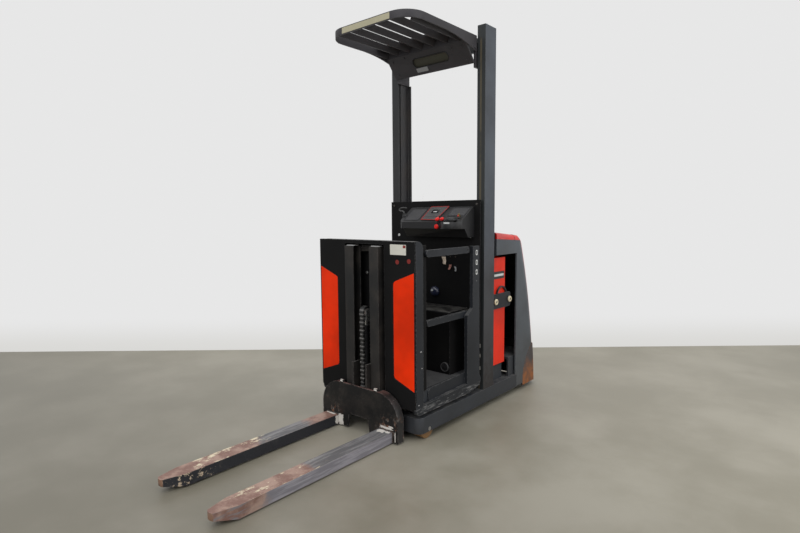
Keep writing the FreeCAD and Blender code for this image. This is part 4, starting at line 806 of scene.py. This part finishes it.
def addControls():
    red, black, brass, lever = [bmesh.new() for k in range(4)]
    for x, share, radius in console["knobs"]:       # red mushroom knobs on black collars
        turned(red, [(0.0065, 0.010), (radius * 0.8, 0.012), (radius, 0.017), (radius, 0.021),
                     (radius * 0.86, 0.026), (radius * 0.5, 0.0285), (0, 0.029)], onConsole(x, share), slopeUp)
        turned(black, [(radius * 1.15, -0.001), (radius * 1.15, 0.004), (radius * 0.9, 0.006), (0.007, 0.006),
                       (0.006, 0.012)], onConsole(x, share), slopeUp)
    x, height, radius = console["lipKnob"]
    turned(red, [(0.0065, 0.004), (radius * 0.85, 0.006), (radius, 0.010), (radius, 0.014),
                 (radius * 0.8, 0.019), (0, 0.021)], at(x, console["front"] - 0.002, height), -yAxis)
    turned(black, [(radius, -0.002), (radius, 0.003), (0.007, 0.005), (0.0065, 0.008)],
           at(x, console["front"], height), -yAxis)
    turned(red, [(0.0085, 0.0), (0.0085, 0.007), (0.006, 0.0095), (0, 0.010)], onConsole(*console["button"]),
           slopeUp, 18)
    x, radius = console["dome"]
    middle = at(x, console["front"], console["lip"])
    turned(black, [(radius * share, height) for share, height in domeShape], middle, zAxis, 40)
    for step in range(console["ribs"]):             # finger ribs round the dome's rim
        turn = 2 * math.pi * step / console["ribs"]
        foot = middle + Vector((math.cos(turn), math.sin(turn), 0)) * radius * 0.99 + zAxis * 0.0135
        turned(black, [(0.0001, -0.005), (0.0032, -0.003), (0.0032, 0.003), (0.0001, 0.005)], foot, zAxis, 8)
    turned(black, [(0.017, -0.001), (0.017, 0.003), (0.0145, 0.006), (0.010, 0.006), (0.009, 0.003),
                   (0, 0.003)], onConsole(*console["key"]), slopeUp)
    turned(black, [(0.019, -0.002), (0.018, 0.003), (0.012, 0.009), (0.010, 0.011), (0.011, 0.014),
                   (0.0075, 0.018), (0.0065, 0.024)], onConsole(*console["lever"]), slopeUp)
    addPlate(brass, onConsole(*console["key"], 0.016), Vector((0.8, 0.6, 0)), slopeUp,
             (0.013, 0.024, 0.005), 0.0022)
    foot = onConsole(*console["lever"], 0.016)      # the lever curls over like a walking stick
    sweepLine(lever, smoothPath([foot + Vector(point) for point in leverCurl]), 0.0052)
    for name, bm, finish in (("stopKnobs", red, "stopRed"), ("consoleKnobs", black, "blackPlastic"),
                             ("switchKey", brass, "brass"), ("consoleLever", lever, "wornPlastic")):
        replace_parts(addPiece(name, bm, finish, "control_plastic"), "console_controls")


def addRim(bm, corners, width, height, out):
    # a raised frame along four corners
    middle = sum(corners, Vector()) / 4
    inner = [corner + (middle - corner).normalized() * width * 1.5 for corner in corners]
    for k in range(4):
        after = (k + 1) % 4
        points = (corners[k], corners[after], inner[after], inner[k])
        addPrism(bm, [point - out * 0.001 for point in points], [point + out * height for point in points])


def addDisplay():
    # the display's frame round the CAD pad, its red border, its glass and blank marks
    corners = [onConsole(*corner) for corner in console["pad"]]
    lift = slopeUp * console["padHeight"]
    raised = [corner + lift for corner in corners]
    bm = bmesh.new()
    addPrism(bm, corners, raised)
    soften(addPiece("displayFrame", bm, "wornPlastic", "pad_plastic", "cab", False))
    bm = bmesh.new()
    addRim(bm, raised, 0.0032, 0.0010, slopeUp)
    addPiece("displayBorder", bm, "borderRed", "pad_plastic", "cab", False)
    middle = sum(raised, Vector()) / 4
    addPlates("displayGlass", [(middle + slopeRun * 0.020, xAxis, slopeRun, (0.062, 0.044, 0.006),
                                0.0014)], "displayGlass", "pad_plastic")
    addPlates("displayMark", [(middle + slopeRun * 0.014 + slopeUp * 0.0014, xAxis, slopeRun,
                               (0.028, 0.009, 0.003), 0.0006)], "stickerWhite", "pad_plastic")
    addPlates("displayKeys", [(middle - slopeRun * 0.042 + xAxis * (-0.040 + 0.020 * k), xAxis, slopeRun,
                               (0.013, 0.011, 0.004), 0.0010) for k in range(5)],
              "trayGrey", "pad_plastic")


def addConsoleTrim():
    addControls()
    addDisplay()
    bm = bmesh.new()                    # tray rims moulded into the top, one each side of the display
    panels = []
    for (x0, x1, low, high), (wide, tall, thick) in zip(console["trays"], console["panels"]):
        corners = [onConsole(x0, low), onConsole(x1, low), onConsole(x1, high), onConsole(x0, high)]
        addRim(bm, corners, 0.0035, 0.0022, slopeUp)
        panels.append(((corners[0] + corners[2]) / 2, xAxis, slopeRun, (wide, tall, 0.008), thick))
    addPiece("trayRims", bm, "softPlastic", "console_plastic")
    addPlates("trayPanels", panels, "trayGrey", "console_plastic")
    x, drop = console["mark"]           # white mark in front of the dome
    addPlates("domeMark", [(at(x, console["lobe"] - 0.0002, console["lip"] - drop), xAxis, zAxis,
                            (0.046, 0.010, 0.003), 0.0006)], "stickerWhite", "console_plastic")


# Front: stickers, bolts, chips and the white marks on the fork plate

front = {"sticker": (0.2747, 1.1334, 0.1205, 0.060), "rounds": ((0.2685, 1.0624), (0.3552, 1.0703)),
         "corner": (0.322, 1.152, 0.020, 0.016), "topEdge": ((0.168, 0.0006, 1.1806), (0.392, 0.0030, 1.1828)),
         "panBolts": ((-0.0742, 0.9717), (-0.083, 0.5243)), "panDepth": 0.103, "caps": (0.104, 0.008, 1.1472),
         "lugs": (0.1455, -0.1455), "lugTop": 0.3032, "lugFace": 0.296, "forkTop": 0.0712,
         "forkSide": (0.176, 0.280), "weld": (0.0715, 0.012), "bead": 0.004, "beadRadius": 0.0042}
beadRipple = Vector((0, 0.0007, 0.0007))
chip = ((-0.010, -0.004), (0.011, -0.005), (0.013, 0.001), (0.006, 0.006), (-0.004, 0.0045), (-0.012, 0.002))
faceRubs = ((-0.156, 0.044, 0.048, 0.078), (0.232, 0.086, 0.100, 0.014), (0.300, 0.046, 0.008, 0.062),
            (0.268, 0.098, 0.040, 0.012))
forkRubs = ((0.212, -0.094, 0.058, 0.040), (0.256, -0.086, 0.030, 0.026), (-0.232, -0.082, 0.080, 0.014))


def addFrontTrim():
    x, z, wide, tall = front["sticker"]
    addPlates("frontSticker", [(at(x, 0, z), xAxis, zAxis, (wide, tall, 0.003), 0.0006)],
              "stickerCream")
    bm = bmesh.new()
    x, z, wide, tall = front["corner"]
    addPlate(bm, at(x, -0.0006, z), xAxis, zAxis, (wide, tall, 0.002), 0.0004)
    for x, z in front["rounds"]:
        turned(bm, [(0.0135, -0.0002), (0.0135, 0.0006), (0.0095, 0.0007)], at(x, 0, z), -yAxis, 24)
    addPiece("frontRounds", bm, "dullRed")
    bm = bmesh.new()                    # bright edge along the top: worn, and a painted highlight on the edge
    low, high = front["topEdge"]
    addSlab(bm, at(*low), at(*high))
    addPiece("frontTopEdge", bm, "paleWearAndHighlight")
    bm = bmesh.new()
    for x, z in front["panBolts"]:
        for side in (1, -1):
            addHex(bm, at(x * side, front["panDepth"], z), -yAxis, 0.014, 0.007)
    addPiece("frontBolts", bm, "zincBolt")
    x, y, z = front["caps"]             # caps on the lift channels, pale: a painted highlight on their tops
    addPlates("channelCaps", [(at(side * x, y, z), xAxis, yAxis, (0.060, 0.050, 0.006), 0.0035)
                              for side in (-1, 1)], "paleWearAndHighlight", "mast_steel")


def raggedOutline(wide, tall, steps=34):
    # a flaked patch: an ellipse-like outline with a broken edge
    points = []
    for step in range(steps):
        turn = 2 * math.pi * step / steps
        reach = 0.40 + 0.13 * random.random() + 0.05 * math.sin(turn * 5 + wide * 90)
        square = max(abs(math.cos(turn)), abs(math.sin(turn))) ** -0.7
        points.append((math.cos(turn) * wide * reach * square, math.sin(turn) * tall * reach * square))
    return points


def addPlateMarks():
    # on the fork plate: chipped lugs, white rubs at the fork heels and weld beads
    face = box("fork_plate")[0].y - cabFront
    bm = bmesh.new()
    for x in front["lugs"]:
        addPlate(bm, at(x, face + 0.004, front["lugTop"]), xAxis, yAxis, chip, 0.0008)
        addPlate(bm, at(x, face, front["lugFace"]), xAxis, zAxis, chip, 0.0006)
    for x, z, wide, tall in faceRubs:
        addPlate(bm, at(x, face, z), xAxis, zAxis, raggedOutline(wide, tall), 0.0004)
    for x, y, wide, tall in forkRubs:
        addPlate(bm, at(x, y, front["forkTop"]), xAxis, yAxis, raggedOutline(wide, tall), 0.0003)
    addPlate(bm, at(-0.1758, -0.082, 0.040), yAxis, zAxis, raggedOutline(0.034, 0.056), 0.0004)
    addPiece("plateRubs", bm, "rubbedPaint", "fork_steel", "fork_carriage", False)
    bm = bmesh.new()                    # weld beads where the forks meet the plate
    (inner, outer), (top, foot) = front["forkSide"], front["weld"]
    for side in (-1, 1):
        a, b = side * inner, side * outer
        for start, end in (((a, top), (b, top)), ((b, top), (b, foot))):
            count = int(max(abs(start[0] - end[0]), abs(start[1] - end[1])) / front["bead"])
            step = Vector((end[0] - start[0], 0, end[1] - start[1])) / count
            first = at(start[0], face - 0.001, start[1])
            path = [first + step * k + beadRipple * (k % 2) for k in range(count + 1)]
            sweepLine(bm, path, front["beadRadius"], 8)
    addPiece("forkWelds", bm, "darkBolt", "fork_steel", "fork_carriage")


# Sides, rear wall, guard and battery: stickers, bolts, rings and tags

sides = {"face": 0.400, "signs": ((0.639, 1.085), (0.640, 1.021), (0.640, 0.958)), "boltFace": 0.388,
         "edgeBolts": ((0.706, 0.4515), (0.706, 0.3843), (0.706, 0.2991)),
         "nicks": ((0.051, 0.545, 0.007), (0.0595, 0.4455, 0.005), (0.030, 0.232, 0.006), (0.64, 0.9, 0.004)),
         "nick": ((-1, -0.3), (0.4, -0.7), (1, 0), (0.3, 0.6), (-0.5, 0.4)),
         "rings": (0.913, 1.103), "ringHeight": 0.722, "label": (0.366, 0.985, 0.9042)}
latchRing = ((0.0195, -0.008), (0.0215, -0.006), (0.0210, 0.0), (0.0170, 0.0028), (0.0110, 0.0028),
             (0.0090, 0.0))
sidePieces = {"sideSigns": ("stickerWhite", "chassis_paint"), "signCentres": ("labelDark", "chassis_paint"),
              "cabBolts": ("zincBolt", "chassis_paint"), "sideNicks": ("paleWearAndHighlight", "chassis_paint"),
              "latchRings": ("creamPlastic", "bare_steel", "chassis"),
              "batteryLabels": ("labelDark", "red_paint", "chassis"),
              "batteryBands": ("stickerWhite", "red_paint", "chassis")}
wall = {"face": 0.700, "buttons": ((-0.3127, 1.1856), (0.3127, 1.1856)), "dome": (0.017, 0.791),
        "tags": (("tagCream", "paleTag", 0.099, 1.015, 0.034, 0.052, 0.25),
                 ("tagPink", "pinkTag", 0.150, 0.971, 0.022, 0.034, -0.2),
                 ("tagPale", "greyStickerAndGlint", 0.193, 0.961, 0.017, 0.032, 0.35)),
        "tagRows": 9, "pinHeight": 1.043, "boltSide": 0.36, "boltHeights": (0.26, 0.55, 0.85, 1.40)}
guard = {"strip": (0.037, 2.457), "slope": (0.600, 2.425, 1.2), "rise": (0, -0.64, 0.768), "side": 0.339,
         "slopeBolts": ((-0.29, 2.40), (-0.29, 2.325), (0.29, 2.40), (0.29, 2.325), (-0.18, 2.41),
                        (0.21, 2.41)),
         "roofBolts": (-0.30, -0.10, 0.10, 0.30), "roof": (0.52, 2.479), "sideBolts": (0.66, 0.70),
         "sticker": (-0.0725, 2.330), "oval": (0.020, 2.370), "ovalReach": 0.123, "ovalEnd": 0.025}
louvres = {"lean": 0.023, "reach": 0.295}
cabinet = {"x": 0.264, "y": 0.470, "z": 0.336, "ring": 0.028}


def addSideTrim():
    make = {name: bmesh.new() for name in sidePieces}
    ringEnd = box("battery_latches")[1].x
    for side in (1, -1):
        out, run = xAxis * side, yAxis * side
        face = sides["face"] * side
        for y, z in sides["signs"]:             # blank outlined signs
            addPlate(make["sideSigns"], at(face, y, z), run, zAxis, (0.021, 0.034, 0.008), 0.0004)
            addPlate(make["signCentres"], at(face + 0.0004 * side, y, z), run, zAxis,
                     (0.010, 0.020, 0.004), 0.0003)
        for y, z in sides["edgeBolts"]:
            addPlate(make["cabBolts"], at(sides["boltFace"] * side, y, z), run, zAxis,
                     (0.007, 0.026, 0.003), 0.0012)
        for y, z, size in sides["nicks"]:
            addPlate(make["sideNicks"], at(face, y, z), run, zAxis,
                     [(size * across, size * up) for across, up in sides["nick"]], 0.0003)
        for y in sides["rings"]:
            place = at(ringEnd * side, y, sides["ringHeight"])
            turned(make["latchRings"], latchRing, place, out)
            turned(make["batteryLabels"], [(0.0092, 0.0), (0.0088, 0.0006)], place, out, 20)
        x, y, z = sides["label"]                # blank battery label
        addPlate(make["batteryLabels"], at(x * side, y, z), run, zAxis, (0.150, 0.052, 0.004), 0.0006)
        addPlate(make["batteryBands"], at(x * side + 0.0006 * side, y, z), run, zAxis,
                 (0.128, 0.016, 0.003), 0.0004)
    for name, given in sidePieces.items():
        addPiece(name, make[name], *given)


def addTag(name, finish, x, z, wide, tall, lean):
    # a paper tag that hangs at the top, curled at the foot; its short cord is not drawn
    bm = bmesh.new()
    last = None
    for row in range(wall["tagRows"]):
        share = row / (wall["tagRows"] - 1)
        shift = lean * tall * (share - 0.3)
        curl = 0.003 + 0.010 * share * share + 0.002 * math.sin(share * 9)
        line = [bm.verts.new(at(x + shift + wide * (0.5 - 0.12 * share) * side,
                                wall["face"] - curl - 0.002 * side * share, z + tall * (0.5 - share)))
                for side in (-1, 0, 1)]
        if last:
            for k in range(2):
                bm.faces.new((last[k], last[k + 1], line[k + 1], line[k]))
        last = line
    addPiece(name, bm, finish).modifiers.new("thick", "SOLIDIFY").thickness = 0.0008


def addRearWallTrim():
    bm = bmesh.new()
    for x, z in wall["buttons"]:
        turned(bm, [(0.010, -0.0005), (0.010, 0.003), (0.008, 0.0055), (0, 0.006)],
               at(x, wall["face"], z), -yAxis, 20)
    addPiece("wallButtons", bm, "stickerWhite")
    bm = bmesh.new()
    x, z = wall["dome"]
    turned(bm, [(0.037, -0.001), (0.0365, 0.006), (0.033, 0.014), (0.026, 0.021), (0.015, 0.0255), (0, 0.027)],
           at(x, wall["face"], z), -yAxis, 36)
    addPiece("wallDome", bm, "darkBlue")
    # a pale plate on the dome: a painted highlight
    addPlates("domeGlint", [(at(x - 0.007, wall["face"] - 0.0262, z + 0.010), xAxis,
                             (zAxis * 0.95 + yAxis * 0.31).normalized(), (0.018, 0.014, 0.004),
                             0.0012)], "greyStickerAndGlint")
    for tag in wall["tags"]:
        addTag(*tag)
    bm = bmesh.new()
    for tag in wall["tags"]:
        turned(bm, [(0.005, -0.0005), (0.005, 0.002), (0.0032, 0.005), (0, 0.0055)],
               at(tag[2], wall["face"], wall["pinHeight"]), -yAxis, 14)
    for side in (-1, 1):
        for z in wall["boltHeights"]:
            addHex(bm, at(wall["boltSide"] * side, wall["face"], z), -yAxis, 0.011, 0.004)
    addPiece("wallBolts", bm, "darkBolt")


def onGuardSlope(x, z):
    y, top, fall = guard["slope"]
    return at(x, y + (top - z) / fall, z)


def addGuardTrim():
    addPlates("guardStrip", [(at(0.0, *guard["strip"]), xAxis, zAxis, (0.388, 0.034, 0.002), 0.0006)],
              "khakiStrip")
    rise = Vector(guard["rise"]).normalized()
    face = xAxis.cross(rise).normalized()
    bm = bmesh.new()
    for x, z in guard["slopeBolts"]:
        addHex(bm, onGuardSlope(x, z), face, 0.013, 0.006)
    for x in guard["roofBolts"]:
        addHex(bm, at(x, *guard["roof"]), zAxis, 0.013, 0.005)
    for side in (-1, 1):
        for y in guard["sideBolts"]:
            addHex(bm, at(guard["side"] * side, y, 2.40), xAxis * side, 0.016, 0.007)
    addPiece("guardBolts", bm, "guardBlack")
    addPlates("guardSticker", [(onGuardSlope(*guard["sticker"]), xAxis, rise, (0.095, 0.030, 0.003),
                                0.0006)], "greyStickerAndGlint")
    x, z = guard["oval"]                # olive-dark sheet behind the oval opening, painted shade of the recess, and the opening's rolled rim
    addPlates("ovalShadeSheet", [(onGuardSlope(x, z) - face * 0.012, xAxis, rise, (0.330, 0.080, 0.039),
                             0.003)], "oliveShade")
    path = []
    for step in range(48):
        turn = 2 * math.pi * step / 48
        reach = guard["ovalReach"] if math.cos(turn) > 0 else -guard["ovalReach"]
        across, high = math.cos(turn) * guard["ovalEnd"], math.sin(turn) * guard["ovalEnd"]
        path.append(onGuardSlope(x + across + reach, z + high))
    bm = bmesh.new()
    sweepLine(bm, path + [path[0]], 0.003, 8)
    addPiece("ovalRim", bm, "blackPlastic")


def meshOf(name):
    # a copy of a CAD piece, its corners joined
    bm = bmesh.new()
    bm.from_mesh(nodes[name].data)
    bmesh.ops.remove_doubles(bm, verts=bm.verts, dist=edgeRound["merge"])
    return bm


def addLouvres():
    # the roof's blades lean, so that little sky shows between them from the front
    low, high = box("guard_blades")
    bm = meshOf("guard_blades")
    for vert in bm.verts:
        if vert.co.x > -louvres["reach"]:
            vert.co.x -= louvres["lean"] * (high.z - vert.co.z) / (high.z - low.z)
    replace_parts(addPiece("louvreBlades", bm, "guardBlack"), "guard_blades")


def addCabinetRing():
    bm = bmesh.new()
    x, y, z = cabinet["x"], cabinet["y"], cabinet["z"]
    turns = [math.pi * k / 18 for k in range(37)]
    around = [Vector((math.cos(turn), 0, math.sin(turn))) for turn in turns]
    sweepLine(bm, [at(x, y, z) + way * cabinet["ring"] for way in around], 0.0032, 8)
    addPiece("cabinetRing", bm, "wornPlastic")
    bm = bmesh.new()
    turned(bm, [(0.024, -0.001), (0.022, 0.004), (0.012, 0.007), (0, 0.008)], at(x, y + 0.004, z), -yAxis, 24)
    addPiece("cabinetLens", bm, "blackPlastic")


# Hood: the CAD form with its top edges rolled over, wide at the rear and narrow at the sides

hood = {"frontTop": (0.7165, 1.208), "rearTop": (1.143, 1.168), "lean": 0.356, "half": 0.400, "corner": 0.120,
        "rearRoll": 0.088, "sideRoll": 0.024, "seam": 1.142, "seamLow": 1.140, "seamRadius": 0.0017}
# rows of cuts: their direction, first place, step and count
hoodCuts = ((yAxis, 1.040, 0.006, 18), (zAxis, 1.080, 0.007, 18), (xAxis, 0.3985, -0.004, 6),
            (xAxis, 0.372, -0.012, 8), (yAxis, 1.028, -0.014, 6))


def hoodWall(point):
    # how deep a point lies behind the hood's upright faces, and which way is out
    side = 1.0 if point.x >= 0 else -1.0
    rear = hood["rearTop"][0] + (hood["rearTop"][1] - point.z) * hood["lean"]
    across = abs(point.x) - (hood["half"] - hood["corner"])
    back = point.y - (rear - hood["corner"])
    if across > 0 and back > 0:
        reach = math.hypot(across, back)
        return hood["corner"] - reach, Vector((side * across / reach, back / reach, 0))
    if across > back:
        return hood["corner"] - across, xAxis * side
    return hood["corner"] - back, yAxis


def addHood():
    bm = meshOf("hood")
    for way, first, step, count in hoodCuts:
        for side in ((-1, 1) if way == xAxis else (1,)):
            for k in range(count):
                bmesh.ops.bisect_plane(bm, geom=bm.verts[:] + bm.edges[:] + bm.faces[:],
                                       plane_co=way * side * (first + step * k), plane_no=way)
    (y0, z0), (y1, z1) = hood["frontTop"], hood["rearTop"]
    up = Vector((0, z0 - z1, y1 - y0)).normalized()
    for vert in bm.verts:
        depth = -(vert.co - Vector((0, y0, z0))).dot(up)
        behind, out = hoodWall(vert.co)
        layer = max(0.0, min(depth, behind))
        roll = hood["sideRoll"] + (hood["rearRoll"] - hood["sideRoll"]) * max(0.0, out.y) - layer
        down, inward = max(0.0, depth - layer), max(0.0, behind - layer)
        if roll <= 0.001 or down >= roll or inward >= roll:
            continue
        turn = math.pi / 4 * (1 - inward / roll if down <= inward else 1 + down / roll)
        newDown, newInward = roll * (1 - math.cos(turn)), roll * (1 - math.sin(turn))
        vert.co -= up * (newDown - down) + out * (newInward - inward)
    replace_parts(addPiece("rolledHood", bm, "hoodRed", "red_paint", "chassis"), "hood")
    place = hood["seam"] + cabFront     # seam across the hood
    top = z0 + (z1 - z0) * (place - y0) / (y1 - y0)
    roll, half = hood["sideRoll"], hood["half"]
    run = [(half, hood["seamLow"])]
    for step in range(7):
        turn = math.pi / 2 * step / 6
        run.append((half - roll + math.cos(turn) * roll, top - roll + math.sin(turn) * roll))
    bm = bmesh.new()
    sweepLine(bm, [Vector((x, place, z)) for x, z in run] + [Vector((-x, place, z)) for x, z in reversed(run)],
              hood["seamRadius"], 6)
    addPiece("hoodSeam", bm, "blackPlastic", "red_paint", "chassis")


stages = {
    "camera, lights and room": (addCamera, addLights, addFloor, addWall, addWorld),
    "shader groups and finishes": (makeEdgeWear, makeScuffs, makeGrime, makeRelief, makeFinishes, dressNodes),
    "console": (addConsoleTrim,),
    "front and fork plate": (addFrontTrim, addPlateMarks),
    "sides, rear wall and guard": (addSideTrim, addRearWallTrim, addGuardTrim, addLouvres, addCabinetRing),
    "hood": (addHood,),
}
for stage, steps in stages.items():
    print(stage)
    for step in steps:
        step()
